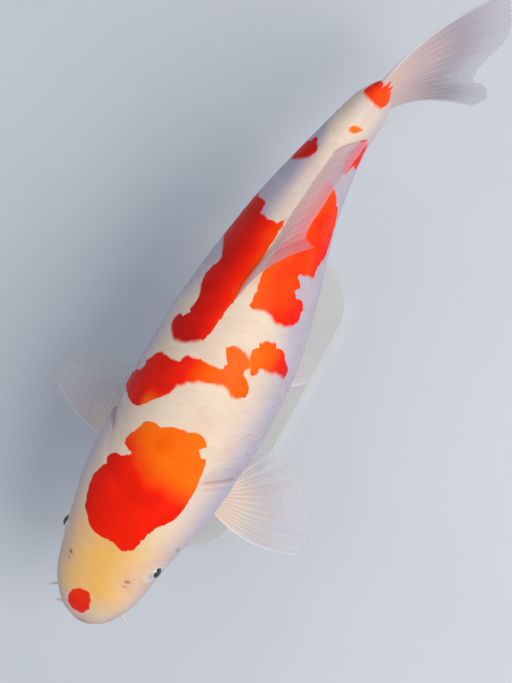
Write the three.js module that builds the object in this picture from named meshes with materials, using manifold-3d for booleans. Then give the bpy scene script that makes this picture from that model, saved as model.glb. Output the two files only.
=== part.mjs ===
// A koi carp, life size, swimming with its tail swung to its left, held on a plain display stand.
//
// Millimetres, +Z up. The head points along -X and the tail along +X, so the fish's left is -Y.
// The origin is the middle of the underside of the stand's base.
//
// The body is one warped sphere: a bent spine carries cross-sections whose sizes run through the
// profiles below. Thin cuts part it into head, gill covers, jaw, trunk and tail stem. Each fin is a
// thin sheet whose rays fan out from a line on the body.

import * as THREE from 'three';
import { mergeVertices } from 'three/addons/utils/BufferGeometryUtils.js';
import Module from 'manifold-3d';

const wasm = await Module();
wasm.setup();

// ---------------------------------------------------------------- driving dimensions

const SPINE_LENGTH = 482;        // from the snout to the root of the tail fin
const SPINE_END = 1.02;          // the stem runs on a little into the tail fin, in spine lengths
const SNOUT = { x: -213, y: 5 }; // where the spine starts, in plan
const AXIS_HEIGHT = 150;         // the spine above the floor
const GAP = 0.35;                // between neighbouring pieces

const SNOUT_LEVEL = -15;         // the middle of the mouth, against the spine
const SNOUT_ROUNDING = 0.09;     // length of the blunt nose, in spine lengths
const TAIL_ROUNDING = 0.05;      // length over which the stem thins to an edge

const EYE_RADIUS = 7.4;
const EYE_STATION = 0.153;       // along the spine, 0 at the snout and 1 at the tail fin
const EYE_ANGLE = 1.15;          // round the body from the ridge of the back, radians
const EYE_BULGE = 3.1;           // how far an eye stands proud of the head

const GILL_PLATE = 4;            // thickness of a gill cover
const TAIL_STEM_START = 0.75;    // just ahead of the anal fin

const BASE = { length: 300, width: 124, height: 14, corner: 50, chamfer: 1.5 };
const ROD = { radius: 4.5, footRadius: 12, footHeight: 4, into: 12 };
const ROD_STATIONS = { stand_rod_front: 0.36, stand_rod_rear: 0.63 };

const SKIN_MESH = { sides: 32, rings: 43 };
const GILL_MESH = { sides: 20, rings: 30 };

// A smooth curve through [position, value] pairs that never overshoots them.
function through(...keys) {
  const count = keys.length;
  const slope = [];
  for (let i = 0; i < count - 1; i += 1) {
    slope.push((keys[i + 1][1] - keys[i][1]) / (keys[i + 1][0] - keys[i][0]));
  }
  const tangent = keys.map((key, i) => {
    if (i === 0) return slope[0];
    if (i === count - 1) return slope[count - 2];
    if (slope[i - 1] * slope[i] <= 0) return 0;
    const before = keys[i][0] - keys[i - 1][0];
    const after = keys[i + 1][0] - keys[i][0];
    const weightBefore = 2 * after + before;
    const weightAfter = after + 2 * before;
    return (weightBefore + weightAfter) / (weightBefore / slope[i - 1] + weightAfter / slope[i]);
  });
  return (position) => {
    const at = THREE.MathUtils.clamp(position, keys[0][0], keys[count - 1][0]);
    let i = 0;
    while (i < count - 2 && at > keys[i + 1][0]) i += 1;
    const width = keys[i + 1][0] - keys[i][0];
    const t = (at - keys[i][0]) / width;
    return (1 + 2 * t) * (1 - t) ** 2 * keys[i][1]
      + t * (1 - t) ** 2 * width * tangent[i]
      + t * t * (3 - 2 * t) * keys[i + 1][1]
      + t * t * (t - 1) * width * tangent[i + 1];
  };
}

// Profiles against the station along the spine. Heights are taken from the spine.
const backHeight = through(
  [0, 6], [0.04, 17], [0.09, 28], [0.15, 42], [0.22, 56.5], [0.30, 67], [0.40, 74.5],
  [0.48, 76], [0.56, 73], [0.66, 62], [0.78, 46], [0.88, 35], [0.95, 31], [1.02, 32],
);
const bellyDepth = through(
  [0, 36], [0.04, 45], [0.10, 52], [0.18, 60], [0.27, 68], [0.38, 74], [0.48, 75.5],
  [0.58, 70], [0.68, 58.5], [0.78, 44], [0.87, 33.5], [0.95, 29.5], [1.02, 31],
);
const halfWidth = through(
  [0, 31], [0.05, 34], [0.11, 39.2], [0.18, 46], [0.25, 53], [0.33, 56], [0.42, 57.7],
  [0.52, 56.3], [0.62, 50], [0.72, 40], [0.82, 29.3], [0.91, 20.8], [1.02, 14],
);
const widestLevel = through([0, -18], [0.06, -14], [0.13, -8], [0.25, -4], [0.4, 0], [0.7, 2], [1.02, 0]);
const backRoundness = through(
  [0, 2.2], [0.1, 2.45], [0.2, 2.35], [0.35, 2.1], [0.6, 1.95], [0.8, 1.9], [1.02, 2.1],
);
const bellyRoundness = through([0, 2.2], [0.25, 2.3], [0.5, 2.25], [0.7, 2.1], [1.02, 2.1]);

// The swimming bend: heading of the spine in plan and lean of the back to the fish's right, degrees.
const heading = through(
  [0, 3.4], [0.12, 1], [0.2, -1.4], [0.3, -3.4], [0.4, -1.7], [0.5, 0.7], [0.6, 3.1], [0.7, 3],
  [0.8, -2.5], [0.88, -6], [0.95, -11.9], [1.02, -22.3],
);
const lean = through([0, 0], [0.2, 0.5], [0.35, 2.7], [0.5, 4], [0.65, 2], [0.8, 0], [0.9, 1], [1.02, 3]);

// ---------------------------------------------------------------- the bent body

const SPINE_STEPS = 400;
const spineTable = [new THREE.Vector3(SNOUT.x, SNOUT.y, AXIS_HEIGHT)];
for (let i = 0; i < SPINE_STEPS; i += 1) {
  const turn = THREE.MathUtils.degToRad(heading((SPINE_END * (i + 0.5)) / SPINE_STEPS));
  const step = (SPINE_LENGTH * SPINE_END) / SPINE_STEPS;
  const previous = spineTable[i];
  spineTable.push(new THREE.Vector3(
    previous.x + Math.cos(turn) * step,
    previous.y + Math.sin(turn) * step,
    previous.z,
  ));
}

// The place of a station and its three directions: along the fish, to its left, and up its back.
function stationFrame(station) {
  const at = (THREE.MathUtils.clamp(station, 0, SPINE_END) / SPINE_END) * SPINE_STEPS;
  const low = Math.min(Math.floor(at), SPINE_STEPS - 1);
  const origin = spineTable[low].clone().lerp(spineTable[low + 1], at - low);
  const turn = THREE.MathUtils.degToRad(heading(station));
  const tip = THREE.MathUtils.degToRad(lean(station));
  const along = new THREE.Vector3(Math.cos(turn), Math.sin(turn), 0);
  const level = new THREE.Vector3(Math.sin(turn), -Math.cos(turn), 0);
  const vertical = new THREE.Vector3(0, 0, 1);
  const up = vertical.clone().multiplyScalar(Math.cos(tip)).addScaledVector(level, -Math.sin(tip));
  const left = level.clone().multiplyScalar(Math.cos(tip)).addScaledVector(vertical, Math.sin(tip));
  return { origin, along, left, up };
}

// How far the section has opened: 0 at an end and 1 past the rounding, along a quarter circle.
function opening(distance, rounding) {
  const rest = 1 - THREE.MathUtils.clamp(distance / rounding, 0, 1);
  return Math.sqrt(1 - rest * rest);
}

// A point on the skin at a station and an angle from the ridge, positive towards the fish's left.
function bodyPoint(station, angle) {
  const { origin, left, up } = stationFrame(station);
  const nose = opening(station, SNOUT_ROUNDING);
  const tail = opening(SPINE_END - station, TAIL_ROUNDING);
  const tailHeight = 0.9 + 0.1 * tail;
  const level = THREE.MathUtils.lerp(SNOUT_LEVEL, widestLevel(station), nose);
  const top = THREE.MathUtils.lerp(SNOUT_LEVEL, backHeight(station) * tailHeight, nose);
  const bottom = THREE.MathUtils.lerp(SNOUT_LEVEL, -bellyDepth(station) * tailHeight, nose);
  const sine = Math.sin(angle);
  const cosine = Math.cos(angle);
  const power = 2 / (cosine > 0 ? backRoundness(station) : bellyRoundness(station));
  const side = halfWidth(station) * nose * tail * Math.sign(sine) * Math.abs(sine) ** power;
  const reach = cosine > 0 ? top - level : level - bottom;
  const height = level + reach * Math.sign(cosine) * Math.abs(cosine) ** power;
  return origin.addScaledVector(left, side).addScaledVector(up, height);
}

// Only positions, with shared corners merged, so that the mesh is one closed body.
function weld(geometry) {
  const plain = geometry.clone();
  plain.deleteAttribute('normal');
  plain.deleteAttribute('uv');
  return mergeVertices(plain, 1e-4);
}

// Moves every corner along its own normal; a negative distance shrinks the body.
function offsetGeometry(geometry, distance) {
  const grown = geometry.clone();
  grown.computeVertexNormals();
  const position = grown.attributes.position;
  const normal = grown.attributes.normal;
  for (let i = 0; i < position.count; i += 1) {
    position.setXYZ(
      i,
      position.getX(i) + normal.getX(i) * distance,
      position.getY(i) + normal.getY(i) * distance,
      position.getZ(i) + normal.getZ(i) * distance,
    );
  }
  grown.deleteAttribute('normal');
  return grown;
}

// A sphere whose poles are the snout and the end of the tail stem.
function bodyGeometry({ sides, rings }) {
  const sphere = new THREE.SphereGeometry(1, sides, rings);
  const position = sphere.attributes.position;
  const firstRing = 0.0012;
  for (let row = 0; row <= rings; row += 1) {
    const k = row / rings;
    const eased = 0.55 * k + 0.45 * 0.5 * (1 - Math.cos(Math.PI * k));
    const station = THREE.MathUtils.clamp(SPINE_END * eased, firstRing, SPINE_END - firstRing);
    const pole = row === 0 || row === rings;
    for (let side = 0; side <= sides; side += 1) {
      const angle = (-2 * Math.PI * (side % sides)) / sides;
      const index = row * (sides + 1) + side;
      const point = pole ? endPoint(row === 0 ? 0 : SPINE_END) : bodyPoint(station, angle);
      position.setXYZ(index, point.x, point.y, point.z);
    }
  }
  return weld(sphere);
}

function endPoint(station) {
  const { origin, up } = stationFrame(station);
  return origin.addScaledVector(up, station === 0 ? SNOUT_LEVEL : 0);
}

// ---------------------------------------------------------------- solids

function toSolid(geometry) {
  const welded = geometry.index && !geometry.attributes.normal ? geometry : weld(geometry);
  const mesh = new wasm.Mesh({
    numProp: 3,
    vertProperties: Float32Array.from(welded.attributes.position.array),
    triVerts: Uint32Array.from(welded.index.array),
  });
  const solid = new wasm.Manifold(mesh);
  if (solid.volume() < 0) throw new Error('a shape is inside out');
  return solid;
}

function toGeometry(solid) {
  const mesh = solid.getMesh();
  const geometry = new THREE.BufferGeometry();
  geometry.setAttribute('position', new THREE.BufferAttribute(Float32Array.from(mesh.vertProperties), 3));
  geometry.setIndex(new THREE.BufferAttribute(Uint32Array.from(mesh.triVerts), 1));
  return geometry;
}

function moved(geometry, x, y, z) {
  return geometry.translate(x, y, z);
}

// An outline drawn in the side view, from snout-based x and spine-based z, as a slab across the fish.
function sideSlab(outline, fromY, toY, shift = 0) {
  const depth = toY - fromY;
  const slab = new THREE.ExtrudeGeometry(outline, { depth, bevelEnabled: false, curveSegments: 10 });
  slab.rotateX(Math.PI / 2);
  return toSolid(moved(slab, SNOUT.x + shift, SNOUT.y + toY, AXIS_HEIGHT));
}

// ---------------------------------------------------------------- fins

// A thin sheet: pointAt(ray, out) runs from the first ray to the last and from root to tip.
function finSolid({ rays, steps, pointAt, thicknessAt }) {
  const sheet = new THREE.BoxGeometry(1, 1, 1, rays, steps, 1);
  const position = sheet.attributes.position;
  const small = 0.01;
  for (let i = 0; i < position.count; i += 1) {
    const ray = position.getX(i) + 0.5;
    const out = position.getY(i) + 0.5;
    const middle = pointAt(ray, out);
    const across = pointAt(Math.min(ray + small, 1), out).sub(pointAt(Math.max(ray - small, 0), out));
    const outward = pointAt(ray, Math.min(out + small, 1)).sub(pointAt(ray, Math.max(out - small, 0)));
    const normal = across.cross(outward).normalize();
    middle.addScaledVector(normal, position.getZ(i) * thicknessAt(ray, out));
    position.setXYZ(i, middle.x, middle.y, middle.z);
  }
  const welded = weld(sheet);
  const solid = new wasm.Manifold(new wasm.Mesh({
    numProp: 3,
    vertProperties: Float32Array.from(welded.attributes.position.array),
    triVerts: Uint32Array.from(welded.index.array),
  }));
  if (solid.volume() > 0) return solid;
  const index = welded.index.array;
  for (let i = 0; i < index.length; i += 3) {
    const first = index[i];
    index[i] = index[i + 1];
    index[i + 1] = first;
  }
  return toSolid(welded);
}

// A ray as a straight chord with a bow that is greatest at its middle.
function rayPoint(root, chord, bow, out) {
  return root.clone().addScaledVector(chord, out).addScaledVector(bow, 4 * out * (1 - out));
}

// A root point just under the skin.
function rootPoint(station, angle, sunk) {
  const surface = bodyPoint(station, angle);
  const { origin } = stationFrame(station);
  const inward = origin.sub(surface).normalize();
  return surface.addScaledVector(inward, sunk);
}

const degrees = THREE.MathUtils.degToRad;

const FIN_TIP_THICKNESS = 0.9;

// side is 1 for the fish's left and -1 for its right.
const PECTORAL = {
  left: { side: 1, sweep: through([0, 91], [0.3, 82], [0.65, 48], [1, 18]), droop: 10, bow: 9 },
  right: { side: -1, sweep: through([0, 75], [0.3, 68], [0.65, 43], [1, 15]), droop: 14, bow: 6 },
  length: through([0, 86], [0.25, 88], [0.65, 65], [1, 46]),
  stations: [0.272, 0.318],
  angle: 2.05,
};

function pectoralFin({ side, sweep, droop, bow }) {
  return finSolid({
    rays: 12,
    steps: 6,
    pointAt: (ray, out) => {
      const station = THREE.MathUtils.lerp(...PECTORAL.stations, ray);
      const root = rootPoint(station, side * PECTORAL.angle, 6);
      const turn = degrees(sweep(ray));
      const flat = PECTORAL.length(ray) * Math.cos(degrees(droop));
      const chord = new THREE.Vector3(
        flat * Math.cos(turn),
        -side * flat * Math.sin(turn),
        -PECTORAL.length(ray) * Math.sin(degrees(droop)),
      );
      const forward = new THREE.Vector3(-Math.sin(turn), -side * Math.cos(turn), 0.35);
      return rayPoint(root, chord, forward.multiplyScalar(bow * (1 - ray) ** 2), out);
    },
    thicknessAt: (ray, out) => THREE.MathUtils.lerp(6 - 3 * ray, FIN_TIP_THICKNESS, out ** 0.6),
  });
}

const PELVIC = {
  stations: [0.485, 0.512],
  angle: 2.7,
  sweep: through([0, 52], [0.5, 36], [1, 14]),
  droop: 30,
  length: through([0, 60], [0.4, 56], [1, 34]),
};

function pelvicFin(side) {
  return finSolid({
    rays: 8,
    steps: 4,
    pointAt: (ray, out) => {
      const station = THREE.MathUtils.lerp(...PELVIC.stations, ray);
      const root = rootPoint(station, side * PELVIC.angle, 5);
      const turn = degrees(PELVIC.sweep(ray));
      const flat = PELVIC.length(ray) * Math.cos(degrees(PELVIC.droop));
      const chord = new THREE.Vector3(
        flat * Math.cos(turn),
        -side * flat * Math.sin(turn),
        -PELVIC.length(ray) * Math.sin(degrees(PELVIC.droop)),
      );
      const bow = new THREE.Vector3(-3 * (1 - ray), -side * 3, -2);
      return rayPoint(root, chord, bow, out);
    },
    thicknessAt: (ray, out) => THREE.MathUtils.lerp(4, FIN_TIP_THICKNESS, out ** 0.6),
  });
}

// The dorsal fin lies folded over to the fish's left. lean is the angle from upright.
const DORSAL = {
  stations: [0.566, 0.866],
  length: through([0, 80], [0.15, 63], [0.5, 47], [0.8, 42], [1, 38]),
  sweep: through([0, 24], [0.15, 20], [0.5, 27], [0.8, 32], [1, 37]),
  lean: through([0, 80], [0.15, 90], [0.5, 104], [0.8, 110], [1, 114]),
  rise: 7,
};

function dorsalFin() {
  return finSolid({
    rays: 14,
    steps: 5,
    pointAt: (ray, out) => {
      const station = THREE.MathUtils.lerp(...DORSAL.stations, ray);
      const { left, up } = stationFrame(station);
      const root = rootPoint(station, 0, 5);
      const ridge = bodyPoint(station + 0.02, 0).sub(bodyPoint(station - 0.02, 0)).normalize();
      const turn = degrees(DORSAL.sweep(ray));
      const fold = degrees(DORSAL.lean(ray));
      const outward = up.clone().multiplyScalar(Math.cos(fold)).addScaledVector(left, Math.sin(fold));
      const chord = ridge.multiplyScalar(DORSAL.length(ray) * Math.cos(turn));
      chord.addScaledVector(outward, DORSAL.length(ray) * Math.sin(turn));
      return rayPoint(root, chord, up.multiplyScalar(DORSAL.rise), out);
    },
    thicknessAt: (ray, out) => THREE.MathUtils.lerp(3.4, FIN_TIP_THICKNESS, out ** 0.7),
  });
}

const ANAL = {
  stations: [0.775, 0.845],
  length: through([0, 60], [0.35, 50], [1, 28]),
  fall: through([0, 52], [0.5, 44], [1, 34]),
};

function analFin() {
  return finSolid({
    rays: 7,
    steps: 4,
    pointAt: (ray, out) => {
      const station = THREE.MathUtils.lerp(...ANAL.stations, ray);
      const { along, left, up } = stationFrame(station);
      const root = rootPoint(station, Math.PI, 5);
      const fall = degrees(ANAL.fall(ray));
      const chord = along.clone().multiplyScalar(ANAL.length(ray) * Math.cos(fall));
      chord.addScaledVector(up, -ANAL.length(ray) * Math.sin(fall));
      chord.addScaledVector(left, 5);
      return rayPoint(root, chord, up.multiplyScalar(-2), out);
    },
    thicknessAt: (ray, out) => THREE.MathUtils.lerp(3.4, FIN_TIP_THICKNESS, out ** 0.7),
  });
}

// The tail fin swings on to the fish's left. Height runs from -1 at the lower lobe to 1 at the upper.
const CAUDAL = {
  station: 0.985,
  rootHeight: 27,
  length: through([-1, 98], [-0.8, 107], [-0.5, 100], [-0.1, 84], [0.1, 86], [0.5, 112], [1, 122]),
  heading: through([-1, -43], [0, -45], [1, -37]),
  rise: 25,
  sideBow: through([-1, 12], [0, 6], [1, 9]),
  lean: 12,
};

function caudalFin() {
  return finSolid({
    rays: 16,
    steps: 6,
    pointAt: (ray, out) => {
      const height = 2 * ray - 1;
      const { origin, up } = stationFrame(CAUDAL.station);
      const root = origin.addScaledVector(up, height * CAUDAL.rootHeight);
      const length = CAUDAL.length(height);
      const turn = degrees(CAUDAL.heading(height));
      const rise = degrees(height * CAUDAL.rise);
      const along = new THREE.Vector3(Math.cos(turn), Math.sin(turn), 0);
      const right = new THREE.Vector3(-Math.sin(turn), Math.cos(turn), 0);
      const fan = new THREE.Vector3(0, 0, Math.cos(degrees(CAUDAL.lean)));
      fan.addScaledVector(right, Math.sin(degrees(CAUDAL.lean)));
      const chord = along.multiplyScalar(length * Math.cos(rise));
      chord.addScaledVector(fan, length * Math.sin(rise));
      const bow = right.multiplyScalar(CAUDAL.sideBow(height));
      bow.z += 6 * height;
      return rayPoint(root, chord, bow, out);
    },
    thicknessAt: (ray, out) => {
      const root = THREE.MathUtils.lerp(9, FIN_TIP_THICKNESS, Math.min(1, out * 2.2) ** 0.7);
      return root + 1.2 * Math.abs(2 * ray - 1) ** 6 * (1 - out);
    },
  });
}

// ---------------------------------------------------------------- small parts

// A round feeler that tapers along a curve.
function feelerSolid(curve, rootRadius, tipRadius) {
  const sides = 8;
  const rows = 6;
  const rod = new THREE.CylinderGeometry(1, 1, 1, sides, rows);
  const position = rod.attributes.position;
  for (let i = 0; i < position.count; i += 1) {
    const out = position.getY(i) + 0.5;
    const radius = THREE.MathUtils.lerp(rootRadius, tipRadius, out);
    const centre = curve.getPoint(out);
    const forward = curve.getTangent(out);
    const first = new THREE.Vector3(0, 0, 1).cross(forward).normalize();
    const second = first.clone().cross(forward);
    centre.addScaledVector(first, position.getX(i) * radius);
    centre.addScaledVector(second, position.getZ(i) * radius);
    position.setXYZ(i, centre.x, centre.y, centre.z);
  }
  return toSolid(weld(rod));
}

// Two pairs of barbels: short ones on the upper lip and longer ones at the corners of the mouth.
// side is 1 for the fish's left and -1 for its right, where they stand out further.
const FRONT_BARBEL = { station: 0.02, angle: 1.55, root: 1.25, tip: 0.5 };
const REAR_BARBEL = { station: 0.044, angle: 1.72, root: 1.5, tip: 0.6 };
const BARBELS = {
  barbel_front_left: { ...FRONT_BARBEL, side: 1, out: 5, back: -4, down: 7 },
  barbel_front_right: { ...FRONT_BARBEL, side: -1, out: 9, back: -4, down: 6 },
  barbel_rear_left: { ...REAR_BARBEL, side: 1, out: 6, back: -9, down: 9 },
  barbel_rear_right: { ...REAR_BARBEL, side: -1, out: 12, back: -10, down: 9 },
};

function barbelSolid({ side, station, angle, out, back, down, root, tip }) {
  const start = rootPoint(station, side * angle, 3);
  const { along, left, up } = stationFrame(station);
  const reach = (share, drop) => start.clone()
    .addScaledVector(left, side * out * share)
    .addScaledVector(along, back * share * share)
    .addScaledVector(up, -down * drop);
  const curve = new THREE.QuadraticBezierCurve3(start, reach(0.85, 0.2), reach(1, 1));
  return feelerSolid(curve, root, tip);
}

// ---------------------------------------------------------------- cuts

// The rear edge of the gill opening in the side view: x from the snout, z from the spine.
const GILL_EDGE = [
  new THREE.Vector2(108, 100), new THREE.Vector2(110, 60), new THREE.Vector2(128, 30),
  new THREE.Vector2(145, 4), new THREE.Vector2(147, -18), new THREE.Vector2(134, -42),
  new THREE.Vector2(108, -60), new THREE.Vector2(92, -100),
];

function headOutline() {
  const outline = new THREE.Shape();
  outline.moveTo(-60, 100);
  outline.lineTo(-60, -100);
  outline.lineTo(92, -100);
  outline.splineThru([...GILL_EDGE].reverse().slice(1));
  outline.lineTo(-60, 100);
  return outline;
}

// The cheek plate that covers the gills, from its hinge behind the eye to the gill opening.
function gillOutline(grow) {
  const outline = new THREE.Shape();
  outline.moveTo(170, 30 + grow);
  outline.lineTo(124, 30 + grow);
  outline.quadraticCurveTo(102 - grow, 27 + grow, 98 - grow, 4);
  outline.quadraticCurveTo(94 - grow, -34 - grow, 112, -48 - grow);
  outline.lineTo(170, -48 - grow);
  outline.lineTo(170, 30 + grow);
  return outline;
}

// The lower jaw, under the line of the mouth and ahead of its corner.
function jawOutline(grow) {
  const outline = new THREE.Shape();
  outline.moveTo(-40, -17 + grow);
  outline.lineTo(-12, -18 + grow);
  outline.quadraticCurveTo(8, -20 + grow, 21 + grow, -27 + grow);
  outline.lineTo(50 + grow, -80);
  outline.lineTo(-40, -80);
  outline.lineTo(-40, -17 + grow);
  return outline;
}

// Everything behind a station, as a block square to the spine there.
function behind(station, shift) {
  const reach = 400;
  const block = new THREE.BoxGeometry(reach, reach, reach);
  block.translate(reach / 2 + shift, 0, 0);
  block.rotateZ(degrees(heading(station)));
  const { origin } = stationFrame(station);
  return toSolid(moved(block, origin.x, origin.y, origin.z));
}

// ---------------------------------------------------------------- the stand

function baseSolid() {
  const { length, width, height, corner, chamfer } = BASE;
  const outline = new THREE.Shape();
  const x = length / 2 - chamfer;
  const y = width / 2 - chamfer;
  outline.moveTo(x - corner, -y);
  outline.absarc(x - corner, -y + corner, corner, -Math.PI / 2, 0);
  outline.absarc(x - corner, y - corner, corner, 0, Math.PI / 2);
  outline.absarc(-x + corner, y - corner, corner, Math.PI / 2, Math.PI);
  outline.absarc(-x + corner, -y + corner, corner, Math.PI, 1.5 * Math.PI);
  const slab = new THREE.ExtrudeGeometry(outline, {
    depth: height - 2 * chamfer,
    bevelEnabled: true,
    bevelSegments: 1,
    bevelSize: chamfer,
    bevelThickness: chamfer,
    curveSegments: 6,
  });
  return toSolid(moved(slab, 0, 0, chamfer));
}

// A rod with a round foot, rising from the base to the belly.
function rodSolid(station) {
  const { origin } = stationFrame(station);
  const bottom = BASE.height + GAP;
  const top = AXIS_HEIGHT - bellyDepth(station) + ROD.into;
  const profile = [
    new THREE.Vector2(0, bottom),
    new THREE.Vector2(ROD.footRadius, bottom),
    new THREE.Vector2(ROD.footRadius, bottom + ROD.footHeight - 1),
    new THREE.Vector2(ROD.footRadius - 1, bottom + ROD.footHeight),
    new THREE.Vector2(ROD.radius, bottom + ROD.footHeight),
    new THREE.Vector2(ROD.radius, top),
    new THREE.Vector2(0, top),
  ];
  const rod = new THREE.LatheGeometry(profile, 16);
  rod.rotateX(Math.PI / 2);
  return toSolid(moved(rod, origin.x, origin.y, 0));
}

// ---------------------------------------------------------------- cutting the fish into its parts

const skinGeometry = bodyGeometry(SKIN_MESH);
const innerGeometry = bodyGeometry(GILL_MESH);
const whole = toSolid(skinGeometry);
const clearance = toSolid(offsetGeometry(skinGeometry, GAP));
const underGill = toSolid(offsetGeometry(innerGeometry, -GILL_PLATE));
const gillBed = toSolid(offsetGeometry(innerGeometry, -GILL_PLATE - GAP));

const solids = {};

function eyeCentre(side) {
  return rootPoint(EYE_STATION, side * EYE_ANGLE, EYE_RADIUS - EYE_BULGE);
}

function eyeBall(side, radius) {
  const ball = new THREE.SphereGeometry(radius, 14, 9);
  const centre = eyeCentre(side);
  return toSolid(moved(ball, centre.x, centre.y, centre.z));
}

const headBlock = sideSlab(headOutline(), -110, 110);
const shoulderBlock = sideSlab(headOutline(), -110, 110, GAP + 0.15);

let head = whole.intersect(headBlock);
for (const [name, side, near, far] of [['left', 1, -110, -12], ['right', -1, 12, 110]]) {
  const eye = eyeBall(side, EYE_RADIUS);
  const plate = sideSlab(gillOutline(0), near, far);
  const slot = sideSlab(gillOutline(GAP), near, far);
  solids[`eye_${name}`] = eye;
  solids[`gill_cover_${name}`] = whole.intersect(headBlock).intersect(plate).subtract(underGill);
  head = head.subtract(slot.subtract(gillBed)).subtract(eyeBall(side, EYE_RADIUS + GAP));
}
solids.lower_jaw = head.intersect(sideSlab(jawOutline(0), -110, 110));
solids.head = head.subtract(sideSlab(jawOutline(GAP), -110, 110));

const rear = whole.subtract(shoulderBlock);
solids.trunk = rear.subtract(behind(TAIL_STEM_START, -GAP));
solids.tail_stem = rear.intersect(behind(TAIL_STEM_START, 0));

solids.pectoral_fin_left = pectoralFin(PECTORAL.left).subtract(clearance);
solids.pectoral_fin_right = pectoralFin(PECTORAL.right).subtract(clearance);
solids.pelvic_fin_left = pelvicFin(1).subtract(clearance);
solids.pelvic_fin_right = pelvicFin(-1).subtract(clearance);
solids.dorsal_fin = dorsalFin().subtract(clearance);
solids.anal_fin = analFin().subtract(clearance);
solids.caudal_fin = caudalFin().subtract(clearance);
for (const [name, sizes] of Object.entries(BARBELS)) {
  solids[name] = barbelSolid(sizes).subtract(clearance);
}

solids.stand_base = baseSolid();
for (const [name, station] of Object.entries(ROD_STATIONS)) {
  solids[name] = rodSolid(station).subtract(clearance);
}

// ---------------------------------------------------------------- colours and the finished group

const PALETTE = {
  skin: { color: 0xf1e4d2, roughness: 0.32, metalness: 0 },
  red: { color: 0xe8380c, roughness: 0.32, metalness: 0 },
  fin: { color: 0xe6d9cf, roughness: 0.4, metalness: 0 },
  eye: { color: 0x20242a, roughness: 0.08, metalness: 0 },
  base: { color: 0xc9cbcc, roughness: 0.6, metalness: 0 },
  steel: { color: 0xb9bcbf, roughness: 0.3, metalness: 1 },
};

function finishOf(name) {
  if (name.startsWith('eye')) return PALETTE.eye;
  if (name === 'stand_base') return PALETTE.base;
  if (name.startsWith('stand_rod')) return PALETTE.steel;
  if (name.includes('fin') || name.startsWith('barbel')) return PALETTE.fin;
  return PALETTE.skin;
}

const koi = new THREE.Group();
for (const [name, solid] of Object.entries(solids)) {
  const mesh = new THREE.Mesh(toGeometry(solid), new THREE.MeshStandardMaterial(finishOf(name)));
  mesh.name = name;
  koi.add(mesh);
}

export default koi;
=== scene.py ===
"""The koi carp's looks: one skin, overlapping scales, fins, eyes, feelers and the display stand.

Shapes are worked out in millimetres in the row frame: +Z up, the head towards -X, the fish's left
towards -Y. A place on the body is a distance along the spine and a share of the way round from the
ridge of the back, where 0 is the ridge, 1 the belly by the left side and -1 the belly by the right.
"""

import bpy
import numpy as np
from mathutils import Matrix, Vector


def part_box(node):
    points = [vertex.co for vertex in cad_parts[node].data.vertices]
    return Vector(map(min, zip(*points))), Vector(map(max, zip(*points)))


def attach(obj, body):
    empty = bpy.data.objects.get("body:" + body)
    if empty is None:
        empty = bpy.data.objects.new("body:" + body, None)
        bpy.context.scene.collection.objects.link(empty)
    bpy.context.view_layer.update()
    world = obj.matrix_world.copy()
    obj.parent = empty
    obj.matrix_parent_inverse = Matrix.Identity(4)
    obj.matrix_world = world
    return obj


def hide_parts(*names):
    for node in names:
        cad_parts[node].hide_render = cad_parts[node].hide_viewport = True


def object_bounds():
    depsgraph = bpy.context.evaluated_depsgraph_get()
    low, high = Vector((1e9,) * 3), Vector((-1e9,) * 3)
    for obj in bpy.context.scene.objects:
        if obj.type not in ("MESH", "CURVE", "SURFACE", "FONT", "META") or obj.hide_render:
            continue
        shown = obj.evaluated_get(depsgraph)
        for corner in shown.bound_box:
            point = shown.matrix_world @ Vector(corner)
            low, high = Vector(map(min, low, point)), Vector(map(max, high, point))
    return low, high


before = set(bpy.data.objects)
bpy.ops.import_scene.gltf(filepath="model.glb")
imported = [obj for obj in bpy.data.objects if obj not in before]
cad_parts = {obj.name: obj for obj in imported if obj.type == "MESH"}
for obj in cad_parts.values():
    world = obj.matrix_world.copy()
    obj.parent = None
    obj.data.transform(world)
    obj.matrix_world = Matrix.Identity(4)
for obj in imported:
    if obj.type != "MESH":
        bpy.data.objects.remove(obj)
cad_low, cad_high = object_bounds()

MM = 0.001
LEFT, RIGHT = 1, -1
SIDES = (LEFT, "left"), (RIGHT, "right")
random = np.random.default_rng(7)

# ---------------------------------------------------------------- the body's shape, millimetres

# The heading, the half widths, the lean, the first rows of the snout with its rounding, and the camera's
# place further down are a scratch program's fit to the photograph, rounded, with a few rows changed by hand.

SPINE_LENGTH = 482.0            # snout to the root of the tail fin
SPINE_END = 1.02                # the stem runs on a little into the tail fin, in spine lengths
SNOUT_X, SNOUT_Y = -213.0, 5.0  # where the spine starts, in plan
AXIS_HEIGHT = 150.0             # the spine above the floor
SNOUT_LEVEL = -15.0             # the middle of the mouth, against the spine
SNOUT_ROUNDING = 0.09           # length of the blunt nose, in spine lengths
TAIL_ROUNDING = 0.05            # length over which the stem thins to an edge


def through(*keys):
    """A smooth curve through (position, value) pairs that never overshoots them."""
    at, value = np.array(keys, float).T
    gap = np.diff(at)
    slope = np.diff(value) / gap
    tangent = np.zeros(len(at))
    tangent[0], tangent[-1] = slope[0], slope[-1]
    for i in range(1, len(at) - 1):
        if slope[i - 1] * slope[i] > 0:
            before, after = 2 * gap[i] + gap[i - 1], gap[i] + 2 * gap[i - 1]
            tangent[i] = (before + after) / (before / slope[i - 1] + after / slope[i])

    def curve(position):
        q = np.clip(np.asarray(position, float), at[0], at[-1])
        i = np.clip(np.searchsorted(at, q, side="right") - 1, 0, len(at) - 2)
        t = (q - at[i]) / gap[i]
        return (
            (1 + 2 * t) * (1 - t) ** 2 * value[i]
            + t * (1 - t) ** 2 * gap[i] * tangent[i]
            + t * t * (3 - 2 * t) * value[i + 1]
            + t * t * (t - 1) * gap[i] * tangent[i + 1]
        )

    return curve


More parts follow.
